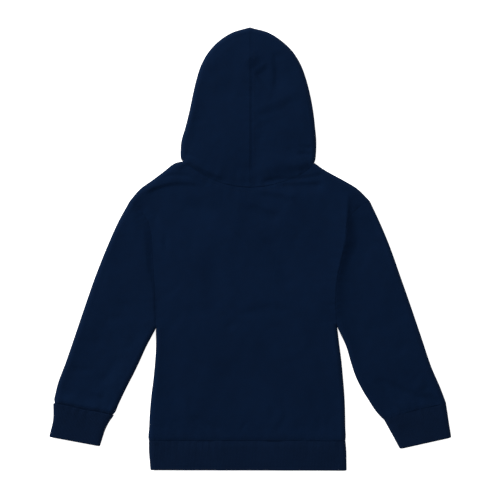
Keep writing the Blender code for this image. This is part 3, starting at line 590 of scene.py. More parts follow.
# --------------------------------------------------------------- the cloth
L_ARM_L, L_ARM_R = Line(armhole_l), Line(armhole_r)
L_NECK = Line(back_neck)
L_NECK_FRONT = Line(front_neck)
L_HEM = Line(hem_seam, 3.0)
L_HEM_END = Line(hem_end, 3.0)
L_CUFF_L, L_CUFF_R = Line(cuff_seam_l, 2.0), Line(cuff_seam_r, 2.0)
L_CUFF_END_L, L_CUFF_END_R = Line(cuff_end_l, 4.0), Line(cuff_end_r, 4.0)
L_HOOD = Line(hood_seam, 4.0)
L_HOOD_UNDER = Line(hood_seam_under, 4.0)
L_FRONT_SEAM = Line(front_seam, 4.0)
L_FACE_L, L_FACE_R = Line(face_l, 2.0, 0), Line(face_r, 2.0, 0)
L_FOLD = Line(ARMHOLE_FOLD)


def top_height(p, d):
    top = TOP_FIELD + (TOP_EDGE - TOP_FIELD) * np.exp(-np.maximum(d - EDGE_REACH, 0) / LOFT_DECAY)
    return top + smooth(p[:, 1], 88.0, 150.0) * (TOP_HOOD - top)


def base(p, upper, wall, rib=None):
    """Outer height, outward normal (flat and up parts), way inward, distance and
    arc length from the fold, before any displacement."""
    d, away = outline.near(p)
    c = np.clip(1 - d / EDGE_REACH, 0, 1)
    s = np.sqrt(1 - c * c)
    if upper:
        top = top_height(p, d)
        if rib is not None:
            top = top + (TOP_RIB - top) * smooth(rib, 0.0, 9.0)
        rise = top - EDGE_HEIGHT
        z = EDGE_HEIGHT + rise * s
    else:
        rise = np.full(len(p), EDGE_HEIGHT)
        z = EDGE_HEIGHT - rise * s
    n_flat, n_up = rise * c, EDGE_REACH * s
    size = np.maximum(np.hypot(n_flat, n_up), 1e-9)
    arc = np.arccos(c) * 5.4 + np.maximum(d - EDGE_REACH, 0)
    return z, n_flat / size, n_up / size, away, d, arc


class Cloth:
    """One piece. seams are the lines its grid ends on, free the open edges. soft
    moves both faces, hard only the outer one; both take plan points, the distance
    and arc from the fold, and the layer."""

    def __init__(self, name, wall, seams, soft, hard, free=(), rib=None):
        self.name, self.wall, self.seams = name, wall, seams
        self.soft, self.hard, self.free, self.rib = soft, hard, free, rib

    def at(self, p, upper, away_hint=None, extra=None):
        rib = None
        if self.rib is not None:
            rib = self.rib.near(p, 80)[0]
        z, n_flat, n_up, away, d, arc = base(p, upper, self.wall, rib)
        if away_hint is not None:
            own = (away == 0).all(axis=1)
            away[own] = away_hint[own]
        near_fold = d < EDGE_REACH + 1
        for line in self.seams + list(self.free):
            a, _, _, tan = line.near(p, 14)
            dot = (away * tan).sum(axis=1)
            w = np.where(near_fold, np.exp(-(a / 3.2) ** 2), 0) * smooth(np.abs(dot), 0.3, 0.7)
            sign = np.where(dot >= 0, 1.0, -1.0)
            away = away * (1 - w)[:, None] + (tan * sign[:, None]) * w[:, None]
        away = away / np.maximum(np.linalg.norm(away, axis=1), 1e-9)[:, None]
        soft = self.soft(p, d, arc, upper)
        if upper:
            inside = smooth(d, 2.0, EDGE_REACH + 4)
            least = TOP_LEAST - z
            low = soft < least + 0.8
            x = np.clip((least + 0.8 - soft) / 0.8, 0, None)
            soft = np.where(low, least + 0.8 - 0.8 * (1 - np.exp(-x)) * inside
                            - (1 - inside) * (least + 0.8 - soft), soft)
        else:
            soft = np.minimum(soft, 0.0)
        hard = self.hard(p, d, arc, upper)
        if extra is not None:
            hard = hard + extra
        normal = np.column_stack([-away * n_flat[:, None], n_up * (1 if upper else -1)])
        start = np.column_stack([p, z])
        outer = start + normal * (soft + hard)[:, None]
        wall = np.full(len(p), self.wall)
        if not upper and self.free and self.rib is None:
            a = np.min([f.near(p, 40)[0] for f in self.free], axis=0)
            wall = wall + 1.1 * (1 - smooth(a, 18.5, 21.0))
        inner = start + normal * (soft - wall)[:, None]
        for line in self.free:
            a = line.near(p, 10)[0]
            half = (wall + hard) / 2
            t = np.clip(a / (half * 1.1), 0, 1)
            h = np.maximum(np.sqrt(np.clip(1 - (1 - t) ** 2, 0, 1)), 0.09)
            delta = half * (1 - h)
            outer = outer - normal * delta[:, None]
            inner = inner + normal * delta[:, None]
        if not upper:
            outer[:, 2] = np.maximum(outer[:, 2], 0.0)
        return outer, inner, normal


def drop(p, row):
    pts, height, width, left, right, end0, end1 = row
    line = Line(pts, 2.5)
    dist, side, s, _ = line.near(p, 3 * max(left, right) + width)
    x = -side * dist
    env = smooth(s, 0, end0) * smooth(line.length - s, 0, end1)
    back_to = np.exp(-np.maximum(dist - width / 2, 0) / np.where(side > 0, left, right))
    return np.where(dist < 1e2, env * height * (0.5 - smooth(x, -width / 2, width / 2)) * back_to, 0.0)


def folds_of(rows, p):
    out = np.zeros(len(p))
    for row in rows:
        out += crease(p, row)
    return out


def cloth_waves(p, d, seed):
    """The slow unevenness of cloth that was smoothed out by hand."""
    slow = ripple(p, seed, 80, 190, 40)
    mid = ripple(p, seed + 1, 34, 70, 60, (1.15, 0.85))
    fine = ripple(p, seed + 2, 10, 24, 60)
    gate = smooth(ripple(p, seed + 3, 60, 140, 30), -0.6, 1.6)
    inner = smooth(d, 1.0, 18.0)
    return inner * (0.6 * slow + (0.08 + 0.2 * gate) * mid + 0.03 * fine)


def minor_creases(zones):
    """Short soft creases in the zones where cloth drags: the same each time."""
    r = np.random.default_rng(404)
    rows = []
    for x, y, rx, ry, turn, fan, count, lo, hi, depth in zones:
        for _ in range(count):
            a = math.radians(turn + fan * (2 * r.random() - 1))
            c = np.array([x + rx * (2 * r.random() - 1), y + ry * (2 * r.random() - 1)])
            half = 0.5 * (lo + (hi - lo) * r.random())
            t = np.array([math.cos(a), math.sin(a)])
            n = np.array([-t[1], t[0]]) * half * 0.35 * (2 * r.random() - 1)
            deep = 0.7 * depth * (0.45 + 0.75 * r.random()) * (1 if r.random() < 0.72 else -0.45)
            w0, w1 = 4.5 + 6.0 * r.random(), 4.5 + 6.0 * r.random()
            pts = tuple(map(tuple, (c - t * half, c + n, c + t * half)))
            rows.append((pts, deep, w0, w1, 0.15 * abs(deep), 0.15 * abs(deep),
                         half * 0.7, half * 0.7))
    return rows


def puckers(a, s, seed, height, reach, shortest=7.0, longest=18.0):
    return height * wander(s, seed, shortest, longest) * np.exp(-a / reach) * (1 - np.exp(-a / 1.6))


def shared_folds(p, d):
    """What runs on from one piece to the next: creases, and the right armhole."""
    out = folds_of(CREASES, p) + folds_of(MINOR, p)
    for row in DROPS:
        out += drop(p, row)
    a, side, s, _ = L_FOLD.near(p, 90)
    low, width = np.interp(s, FOLD_AT, FOLD_DROP), np.interp(s, FOLD_AT, FOLD_WIDTH)
    rise = 0.58 * np.exp(-a / 26.0)                   # on the left as drawn: the back
    fall = 0.58 - (1 - np.exp(-(a / width) ** 1.4)) + 0.42 * smooth(a, 28.0, 84.0)
    out += low * np.where(side > 0, rise, fall) * (a < 90)
    # the left armhole lies in a shallow valley, a little on the side of the back
    a, side, s, _ = L_ARM_L.near(p, 60)
    u = side * a - 2.5
    shorter = smooth(s, 100, 145)
    sleeve = (3.4 * smooth(-u, 0.0, 14.5 - 8.0 * shorter) - 2.5 - 0.9 * smooth(-u, 15.0, 46.0))
    valley = np.where(u < 0, sleeve, -2.5 * np.exp(-(np.sqrt(u * u + 9.0) - 3.0) / 14.0))
    env = (smooth(s, 0, 22) * (1 - 0.6 * shorter)
           * (1 - smooth(s, L_ARM_L.length - 14, L_ARM_L.length + 4)))
    out += valley * env * (1 - smooth(a, 38.0, 59.0))
    return out * smooth(d, 0.5, 9.0)


def neck_dips(s):
    """Where the hood sinks into the neck seam, left and right of the middle."""
    n = L_NECK.length
    return (smooth(s, 0, 12) * (1 - smooth(s, 44, 82)),
            smooth(s, n - 104, n - 54) * (1 - smooth(s, n - 9, n - 1)))


def neck_step(s):
    """How far the hood stands over the back at the neck seam: less on the right."""
    return 1 - 0.75 * smooth(s, L_NECK.length - 82, L_NECK.length - 40)


def edge_swell(arc):
    """The folded edges stand out a little."""
    return 0.42 * np.exp(-(arc / 6.0) ** 2)


def body_soft(p, d, arc, upper):
    if not upper:
        out = folds_of(CREASES_UNDER, p) - 0.22 * np.clip(ripple(p, 61, 22, 60), 0, None)
        for line, seed in ((L_ARM_L, 71), (L_ARM_R, 72), (L_HEM, 73), (L_NECK_FRONT, 74)):
            a, _, s, _ = line.near(p, 40)
            out -= np.abs(puckers(a, s, seed, 0.4, 9.0))
        return out * smooth(d, 2.0, 12.0)
    out = shared_folds(p, d) + cloth_waves(p, d, 11)
    a, _, s, _ = L_ARM_R.near(p, 60)
    out += puckers(a, s, 31, 0.15, 9.0)
    a, _, s, _ = L_ARM_L.near(p, 60)
    out += puckers(a, s, 32, 0.15, 9.0)
    a, _, s, _ = L_NECK.near(p, 60)
    out += puckers(a, s, 33, 0.15, 10.0, 10.0, 26.0)
    left, right = neck_dips(s)
    out -= (0.9 * left + 1.4 * right) * np.exp(-(a / 14.0) ** 1.5) * smooth(d, 1.0, 10.0)
    a, _, s, _ = L_HEM.near(p, 60)
    out += 0.7 * np.exp(-((a - 7.0) / 7.5) ** 2) + puckers(a, s, 34, 0.2, 14.0, 12.0, 34.0)
    out -= 0.3 * np.exp(-(a / 2.6) ** 2)
    return out + edge_swell(arc)


def body_hard(p, d, arc, upper):
    out = roll(arc, 0.7, 1.2)                        # side and shoulder seams
    for line, depth in ((L_ARM_L, 0.35), (L_ARM_R, 0.3), (L_HEM, 0.55)):
        a = line.near(p, 16)[0]
        out += roll(a, depth, 1.8)
    a = L_HEM.near(p, 16)[0]
    out += groove(a, 2.6, 0.14, 0.7) + groove(a, 7.4, 0.14, 0.7)
    a, _, s, _ = (L_NECK if upper else L_NECK_FRONT).near(p, 16)
    step = np.where(a < 16, 0.4 * np.exp(-a / 5.0), 0.0) * (neck_step(s) if upper else 1.0)
    out += roll(a, 0.3, 1.4) + groove(a, 6.2, 0.1, 0.8) - step
    return out


def sleeve_soft(left):
    arm, cuff = (L_ARM_L, L_CUFF_L) if left else (L_ARM_R, L_CUFF_R)

    def f(p, d, arc, upper):
        a, _, s, _ = arm.near(p, 60)
        b, _, t, _ = cuff.near(p, 60)
        end = ((2.3 if left else 0.2) * np.exp(-((b - 5.0) / 7.5) ** 2)
               + puckers(b, t, 51 + left, 0.32, 16.0, 10.0, 28.0))
        if not upper:
            out = folds_of(CREASES_UNDER, p) - 0.22 * np.clip(ripple(p, 65, 20, 55), 0, None)
            out -= np.abs(puckers(a, s, 75, 0.4, 9.0))
            out -= np.abs(puckers(b, t, 76, 0.6, 12.0, 8.0, 20.0))
            return out * smooth(d, 2.0, 12.0)
        out = shared_folds(p, d) + cloth_waves(p, d, 11)
        out += puckers(a, s, 41 + left, 0.18, 10.0)
        out -= (1.5 if left else 0.1) * np.exp(-(b / 3.6) ** 2)
        return out + end * (0.35 + 0.65 * smooth(d, 0.0, 8.0)) + edge_swell(arc)
    return f


def sleeve_hard(left):
    arm, cuff = (L_ARM_L, L_CUFF_L) if left else (L_ARM_R, L_CUFF_R)
    inner = Line(inner_l if left else inner_r)

    def f(p, d, arc, upper):
        out = roll(arm.near(p, 16)[0], 0.35 if left else 0.3, 1.8)
        b = cuff.near(p, 16)[0]
        out += roll(b, 0.7 if left else 0.15, 2.0 if left else 1.0)
        out += groove(b, 3.0, 0.12, 0.7)
        c = inner.near(p, 12)[0]
        out += np.where(c < 11, -0.8 * np.exp(-(arc / 0.8) ** 2), 0)   # underarm seam
        return out
    return f


def hood_soft(p, d, arc, upper):
    if not upper:
        out = folds_of(CREASES_UNDER, p) - 0.2 * np.clip(ripple(p, 67, 20, 55), 0, None)
        a, _, s, _ = L_NECK_FRONT.near(p, 40)
        out -= np.abs(puckers(a, s, 77, 0.45, 9.0))
        return out * smooth(d, 2.0, 12.0)
    out = shared_folds(p, d) + cloth_waves(p, d, 11) + edge_swell(arc)
    a, side, s, _ = L_HOOD.near(p, 60)
    # the allowance is pressed to the left, so the right half starts lower
    x = -side * a
    out += ((0.5 - smooth(x, -1.8, 2.9)) * np.exp(-np.maximum(a - 2.5, 0) / 9.0)
            - 0.35 * smooth(x, 4.4, 8.4) * np.exp(-np.maximum(x - 8.0, 0) / 12.0)
            + puckers(a, s, 35, 0.12, 8.0, 8.0, 20.0)) * (
                0.25 + 0.75 * smooth(p[:, 1], 112.0, 122.0)) * (1 - 0.6 * smooth(p[:, 1], 232.0, 262.0))
    a, _, s, _ = L_NECK.near(p, 60)
    left, right = neck_dips(s)
    end = smooth(s, L_NECK.length - 42, L_NECK.length - 14)
    low, high = 3.0 - 5.0 * end, 25.0 - 12.0 * end
    out += left * 0.9 * (smooth(a, 0.0, 10.0) - 1.0) * smooth(d, 1.0, 10.0)
    out += right * (3.8 * smooth(a, low, high) - 1.4 - 2.4 * smooth(a, high, high + 26.0)) * smooth(d, 1.0, 10.0)
    out += puckers(a, s, 36, 0.18, 12.0, 10.0, 30.0)
    return out


def hood_hard(p, d, arc, upper):
    if upper:
        a, side, s, _ = L_HOOD.near(p, 16)
        out = roll(a, 0.26, 1.3) + np.where(side < 0, groove(a, 5.4, 0.12, 0.7), 0)
        a, _, s, _ = L_NECK.near(p, 16)
        out += (roll(a, 0.45, 1.6) + np.where(a < 16, 0.3 * np.exp(-a / 5.0), 0.0)) * neck_step(s)
        return out
    out = roll(L_NECK_FRONT.near(p, 16)[0], 1.3, 2.0)
    for line in (L_HOOD_UNDER, L_FRONT_SEAM):
        a = line.near(p, 16)[0]
        out += roll(a, 1.1, 1.5) + groove(a, 5.2, 0.25, 0.7)
    a = np.minimum(L_FACE_L.near(p, 40)[0], L_FACE_R.near(p, 40)[0])
    out += groove(a, 20.0, 0.3, 0.9)
    return out


def band_soft(seam, low, bump, seed, tilt=0.0):
    def f(p, d, arc, upper):
        a, _, s, _ = seam.near(p, 70)
        out = 0.3 * ripple(p, seed, 30, 80, 30) * smooth(d, 1.0, 12.0)
        if upper:
            out += (shared_folds(p, d) + cloth_waves(p, d, 11)) * np.exp(-(a / 14.0) ** 1.5)
            out += bump * np.exp(-((a - 16.0) / 12.0) ** 2) - low * np.exp(-a / 9.0)
            out += tilt * smooth(a, 4.0, 48.0)
            out += puckers(a, s, seed + 1, 0.25, 9.0, 9.0, 24.0)
        return out * (1 if upper else 0.6) + 0.5 * np.exp(-(arc / 6.0) ** 2)
    return f


def band_hard(seam, depth, all_over):
    def f(p, d, arc, upper):
        return roll(seam.near(p, 16)[0], depth, 1.6) - all_over
    return f


MINOR = minor_creases(ZONES)
back = Cloth("v_back", FLEECE, [L_ARM_L, L_ARM_R, L_NECK, L_HEM], body_soft, body_hard)
front = Cloth("v_front", FLEECE, [L_ARM_L, L_ARM_R, L_NECK_FRONT, L_HEM], body_soft, body_hard)
sleeve_l = Cloth("v_sleeve_l", FLEECE, [L_ARM_L, L_CUFF_L], sleeve_soft(True), sleeve_hard(True))
sleeve_r = Cloth("v_sleeve_r", FLEECE, [L_ARM_R, L_CUFF_R], sleeve_soft(False), sleeve_hard(False))
cuff_l = Cloth("v_cuff_l", RIB, [L_CUFF_L], band_soft(L_CUFF_L, -0.9, 0.1, 101, -1.6),
               band_hard(L_CUFF_L, 0.45, 0.3), [L_CUFF_END_L], L_CUFF_L)
cuff_r = Cloth("v_cuff_r", RIB, [L_CUFF_R], band_soft(L_CUFF_R, 0.1, 0.3, 103, 0.9),
               band_hard(L_CUFF_R, 0.15, 0.05), [L_CUFF_END_R], L_CUFF_R)
hem = Cloth("v_hem_band", RIB, [L_HEM], band_soft(L_HEM, 0.2, 0.4, 105),
            band_hard(L_HEM, 0.4, 0.2), [L_HEM_END], L_HEM)
hood_l = Cloth("v_hood_l", FLEECE, [L_HOOD, L_NECK], hood_soft, hood_hard)
hood_r = Cloth("v_hood_r", FLEECE, [L_HOOD, L_NECK], hood_soft, hood_hard)
hood_under_l = Cloth("v_hood_l", FLEECE, [L_HOOD_UNDER, L_FRONT_SEAM, L_NECK_FRONT],
                     hood_soft, hood_hard, [L_FACE_L])
hood_under_r = Cloth("v_hood_r", FLEECE, [L_HOOD_UNDER, L_FRONT_SEAM, L_NECK_FRONT],
                     hood_soft, hood_hard, [L_FACE_R])


# ------------------------------------------------------------------ meshes
def hint(grid, columns_, rows_=()):
    """The way inward for grid points that lie on a fold: that of one further in."""
    h = np.zeros(grid.shape)
    for j in rows_:
        way = outline.near(grid[:, 3 if j == 0 else grid.shape[1] - 4])[1]
        for k in range(3):
            h[:, k if j == 0 else j - k] = way
    for i in columns_:
        way = outline.near(grid[3 if i == 0 else grid.shape[0] - 4])[1]
        for k in range(3):
            h[k if i == 0 else i - k] = way
    return h.reshape(-1, 2)


def kept_in(grid):
    """Brings points that lie a hair outside the outline back on to it. Also gives
    the way from each point to the middle of the piece."""
    flat = grid.reshape(-1, 2).copy()
    d, away = outline.near(flat)
    way = flat.mean(axis=0) - flat
    way /= np.maximum(np.linalg.norm(way, axis=1), 1e-9)[:, None]
    out = (d < 1.5) & ((away * way).sum(axis=1) < -0.6)
    flat[out] -= away[out] * d[out][:, None]
    return flat.reshape(grid.shape), way


def lay(cloth, grid, upper, columns_, rows_=(), extra=None):
    n, m = grid.shape[:2]
    grid, way = kept_in(grid)
    inward = hint(grid, columns_, rows_)
    inward = np.where((inward == 0).all(axis=1)[:, None], way, inward)
    o, i, _ = cloth.at(grid.reshape(-1, 2), upper, inward,
                       None if extra is None else extra.ravel())
    return o.reshape(n, m, 3), i.reshape(n, m, 3)


made = {}


def mesh_of(name, outer, inner, uv, ring, pole=False, flip=False):
    """A closed shell from two grids of points. The inner face takes every second
    row and column. ring joins the last column to the first, pole gathers the last
    row in one point. uv has a column more if ring."""
    n, m = outer.shape[:2]
    index = np.arange(n * m).reshape(n, m)
    if pole:
        index[:, -1] = index[0, -1]
    cols = index if not ring else np.vstack([index, index[:1]])
    N = n * m
    faces, corners, kind = [], [], []

    def face_grid(ids, t, material, turned):
        q = np.stack([ids[:-1, :-1], ids[1:, :-1], ids[1:, 1:], ids[:-1, 1:]], axis=-1).reshape(-1, 4)
        u = np.stack([t[:-1, :-1], t[1:, :-1], t[1:, 1:], t[:-1, 1:]], axis=2).reshape(-1, 4, 2)
        if turned:
            q, u = q[:, ::-1], u[:, ::-1]
        faces.extend(q.tolist())
        corners.extend(u.tolist())
        kind.extend([material] * len(q))

    def rim(line, t, turned):
        for k in range(0, len(line) - 2, 2):
            q = [line[k], line[k + 1], line[k + 2], line[k + 2] + N, line[k] + N]
            u = [t[k], t[k + 1], t[k + 2], t[k + 2] + 0.002, t[k] + 0.002]
            if turned != flip:
                q, u = q[::-1], u[::-1]
            faces.append([int(v) for v in q])
            corners.append([list(v) for v in u])
            kind.append(0)

    face_grid(cols, uv, 0, flip)
    face_grid(cols[::2, ::2] + N, uv[::2, ::2], 1, not flip)
    rim(cols[:, 0], uv[:, 0], True)
    if not pole:
        rim(cols[:, -1], uv[:, -1], False)
    if not ring:
        rim(index[0], uv[0], False)
        rim(index[-1], uv[-1], True)
    if pole:                       # the cells at the point are triangles
        for k, f in enumerate(faces):
            if len(set(f)) < len(f):
                keep = [i for i, v in enumerate(f) if v not in f[:i]]
                faces[k] = [f[i] for i in keep]
                corners[k] = [corners[k][i] for i in keep]
        whole = [k for k, f in enumerate(faces) if len(f) > 2]
        faces = [faces[k] for k in whole]
        corners = [corners[k] for k in whole]
        kind = [kind[k] for k in whole]
    verts = np.vstack([outer.reshape(-1, 3), inner.reshape(-1, 3)])
    verts = (verts - [CENTRE[0], CENTRE[1], 0.0]) * MM
    used = np.zeros(len(verts), bool)
    used[np.fromiter((v for f in faces for v in f), int)] = True
    new = np.cumsum(used) - 1
    faces = [[int(new[v]) for v in f] for f in faces]
    mesh = bpy.data.meshes.new(name)
    mesh.from_pydata(verts[used].tolist(), [], faces)
    mesh.polygons.foreach_set("use_smooth", np.ones(len(faces), bool))
    mesh.polygons.foreach_set("material_index", np.array(kind, np.int32))
    layer = mesh.uv_layers.new(name="UVMap")
    flat = np.fromiter((x for c in corners for v in c for x in v), np.float32)
    layer.data.foreach_set("uv", flat)
    mesh.update()
    obj = bpy.data.objects.new(name, mesh)
    bpy.context.scene.collection.objects.link(obj)
    made[name] = obj
    return obj


def panel(cloth, upper, neck_l, neck_r, cell):
    top_l = shoulder_l.at(shoulder_l.length - stations(shoulder_l.length, cell, last=False))
    top_r = shoulder_r.at(shoulder_r.length - stations(shoulder_r.length, cell, last=False))
    nl = neck_l.at(stations(neck_l.length, cell, last=False))
    nr = neck_r.at(stations(neck_r.length, cell, last=False))
    top = np.vstack([top_l, nl[1:], nr[::-1][1:], top_r[::-1][1:]])
    rows = max(len(stations(side_l.length, cell, last=False)), len(stations(side_r.length, cell, last=False)))
    arm_rows = len(stations(armhole_l.length, cell))
    sides = []
    for side, arm in ((side_l, armhole_l), (side_r, armhole_r)):
        s = side.length * (1 - spread(rows - 1, last=False, length=side.length))[::-1]
        low = side.at(np.sort(s))[::-1]
        t = spread(arm_rows - 1, length=arm.length) * arm.length
        high = arm.at(t)[::-1]
        sides.append(np.vstack([low, high[1:]]))
    left, right = sides
    n = len(top) - 1
    x = left[0][0] + (right[0][0] - left[0][0]) * spread(n, length=right[0][0] - left[0][0])
    bottom = np.column_stack([x, np.full(n + 1, left[0][1])])
    grid, fu, fv = patch(bottom, top, left, right)
    half = SEAM_GAP / 2
    outer, inner = lay(cloth, grid, upper, (0, n), (grid.shape[1] - 1,))
    shift_gap(outer, inner, grid, half)
    uv = grid * MM
    return mesh_of(cloth.name, outer, inner, uv, False, flip=not upper)


def shift_gap(outer, inner, grid, half):
    """Leaves half a gap at every edge of a panel, towards its middle."""
    n, m = grid.shape[:2]
    for sl, nx in (((0, slice(None)), (1, slice(None))), ((n - 1, slice(None)), (n - 2, slice(None))),
                   ((slice(None), 0), (slice(None), 1)), ((slice(None), m - 1), (slice(None), m - 2))):
        v = grid[nx] - grid[sl]
        v = v / np.maximum(np.linalg.norm(v, axis=1), 1e-9)[:, None] * half
        outer[sl][:, :2] += v
        inner[sl][:, :2] += v


def turn_of(d):
    """How much further it is over the rounded fold to a point d in from it."""
    return (np.arccos(np.clip(1 - d / EDGE_REACH, 0, 1)) * 5.4
            + np.maximum(d - EDGE_REACH, 0) - d)


def tube(cloth, outer_edge, inner_edge, start, end, cell, cell_under, cell_along, mirror,
         ribs=False, axis=None):
    """A sleeve or a band: both layers, joined at both folds. start and end run
    from the outer edge to the inner edge."""
    far = not ribs
    m = len(stations(max(outer_edge.length, inner_edge.length), cell_along, last=True)) - 1
    ends = []
    for e in (outer_edge, inner_edge):
        ends.append(e.at(spread(m, length=e.length) * e.length))
    layers, fracs = [], []
    for cells in (cell, cell_under):
        steps = RIB_STEPS if ribs else STEPS
        n = len(stations(start.length, cells, steps=steps)) - 1
        a = start.at(spread(n, length=start.length, steps=steps) * start.length)
        b = end.at(spread(n, length=end.length, steps=steps) * end.length)
        layers.append(patch(a, b, *ends))
    (gu, xu, yu), (gd, xd, yd) = layers
    extra_u = extra_d = None
    around = start.length + end.length          # mean of both ends, all round
    if ribs:
        more = turn_of(100.0)                   # what one fold adds to the plan width
        count = int(round((around + 4 * more) / RIB_PITCH))

        def rib_shape(x, y):
            width = start.length + (end.length - start.length) * y
            along = (x * width + turn_of(x * width) + more - turn_of((1 - x) * width))
            wave = np.cos(np.pi * count * along / (width + 2 * more))
            return RIB_DEPTH * (np.sign(wave) * np.abs(wave) ** 0.7) * smooth(y * outer_edge.length, 0.4, 3.0)
        extra_u = rib_shape(xu, yu)
        extra_d = np.minimum(rib_shape(xd, yd), 0.02)
    n, nd = gu.shape[0] - 1, gd.shape[0] - 1
    ou, iu = lay(cloth, gu, True, (0, n), (), extra_u)
    od, idn = lay(cloth, gd, False, (0, nd), (), extra_d)
    outer = np.vstack([ou, od[::-1][1:-1]])
    inner = np.vstack([iu, idn[::-1][1:-1]])
    if axis is None:
        uu = np.stack([xu / 2 * around, yu * outer_edge.length], axis=-1)
        ud = np.stack([(1 - xd / 2) * around, yd * outer_edge.length], axis=-1)
        uv = np.vstack([uu, ud[::-1][1:-1], uu[:1] + [around, 0]])
    else:
        a, b = np.array(axis[0], float), np.array(axis[1], float)
        t = (b - a) / np.linalg.norm(b - a)
        s = np.array([-t[1], t[0]])
        uu = np.stack([(gu - a) @ s, (gu - a) @ t], axis=-1)
        ud = np.stack([(gd - a) @ s, (gd - a) @ t], axis=-1)
        fold = ud[0, :, 0][None]
        ud[..., 0] = 2 * fold - ud[..., 0]
        low = ud[1:][::-1]           # from the inner fold back to the outer one
        uv = np.vstack([uu, low[1:], ud[:1]])
    return mesh_of(cloth.name, outer, inner, uv * MM, True, flip=not mirror)


def hood_half(cloth, under, edge, neck_b, neck_f, face, mirror):
    nb = neck_b.at(stations(neck_b.length, CELL_HOOD))
    nf = neck_f.at(stations(neck_f.length, CELL_HOOD_UNDER))
    up = stations(hood_seam.length, CELL_HOOD)
    rows = len(up) - 1
    seam = hood_seam.at(up)
    left = edge.at(up / hood_seam.length * edge.length)
    grid, _, _ = patch(nb, None, left, seam)
    # the lower layer's inner side: front seam, face edge, then the seam again
    top_s = stations(hood_seam_under.length, CELL_HOOD, first=False)
    low_s = stations(front_seam.length, CELL_HOOD_UNDER, last=False)
    mid_n = rows - (len(top_s) - 1) - (len(low_s) - 1)
    mid = face.at(np.linspace(0, face.length, mid_n + 1))
    right = np.vstack([front_seam.at(low_s), mid[1:], hood_seam_under.at(top_s)[1:]])
    low, _, _ = patch(nf, None, left, right)
    n, nl = grid.shape[0] - 1, low.shape[0] - 1
    ou, iu = lay(cloth, grid, True, (0,), ())
    od, idn = lay(under, low, False, (0,), ())
    outer = np.vstack([ou[::-1], od[1:]])
    inner = np.vstack([iu[::-1], idn[1:]])
    outer[:, -1] = [apex[0], apex[1], EDGE_HEIGHT]        # the halves meet on the seam
    inner[:, -1] = [apex[0], apex[1] - FLEECE, EDGE_HEIGHT]
    mirror_x = 2 * left[None, :, 0] - low[..., 0]
    uvl = np.stack([mirror_x, low[..., 1]], axis=-1)
    uv = np.vstack([grid[::-1], uvl[1:]]) * MM
    return mesh_of(cloth.name, outer, inner, uv, False, pole=True, flip=not mirror)


panel(back, True, back_neck_l, back_neck_r, CELL_BACK)
panel(front, False, front_neck_l, front_neck_r, CELL_FRONT)
tube(sleeve_l, outer_l, inner_l, armhole_l, cuff_seam_l, CELL_SLEEVE, CELL_SLEEVE_UNDER,
     CELL_SLEEVE, False, axis=((-154, -20), (-240, -230)))
tube(sleeve_r, outer_r, inner_r, armhole_r, cuff_seam_r, CELL_SLEEVE, CELL_SLEEVE_UNDER,
     CELL_SLEEVE, True, axis=((148, -20), (238, -232)))
tube(cuff_l, cuff_outer_l, cuff_inner_l, cuff_seam_l, cuff_end_l, CELL_RIB, CELL_RIB_UNDER,
     2.6, False, ribs=True)
tube(cuff_r, cuff_outer_r, cuff_inner_r, cuff_seam_r, cuff_end_r, CELL_RIB, CELL_RIB_UNDER,
     2.6, True, ribs=True)
tube(hem, hem_l, hem_r, hem_seam, hem_end, CELL_RIB, CELL_RIB_UNDER, 2.8, False, ribs=True)
hood_half(hood_l, hood_under_l, hood_edge_l, back_neck_l, front_neck_l, face_l, False)
hood_half(hood_r, hood_under_r, hood_edge_r, back_neck_r, front_neck_r, face_r, True)


# ----------------------------------------------------------------- threads
def offset(curve, a, step=0.4, trim=0.0):
    """The line at distance a beside a curve, to its left where a is above zero."""
    p = curve.by(step)
    t = np.gradient(p, axis=0)
    t = t / np.linalg.norm(t, axis=1)[:, None]
    q = p + a * np.column_stack([-t[:, 1], t[:, 0]])
    if trim:
        k = int(trim / step)
        q = q[k:len(q) - k]
    return q


def path_on(cloth, plan, upper):
    """Points and normals of a plan line on a piece, from a folded edge on."""
    d, _ = outline.near(plan)
    plan = plan[(d > 0.3)]
    o, _, n = cloth.at(plan, upper)
    return o, n


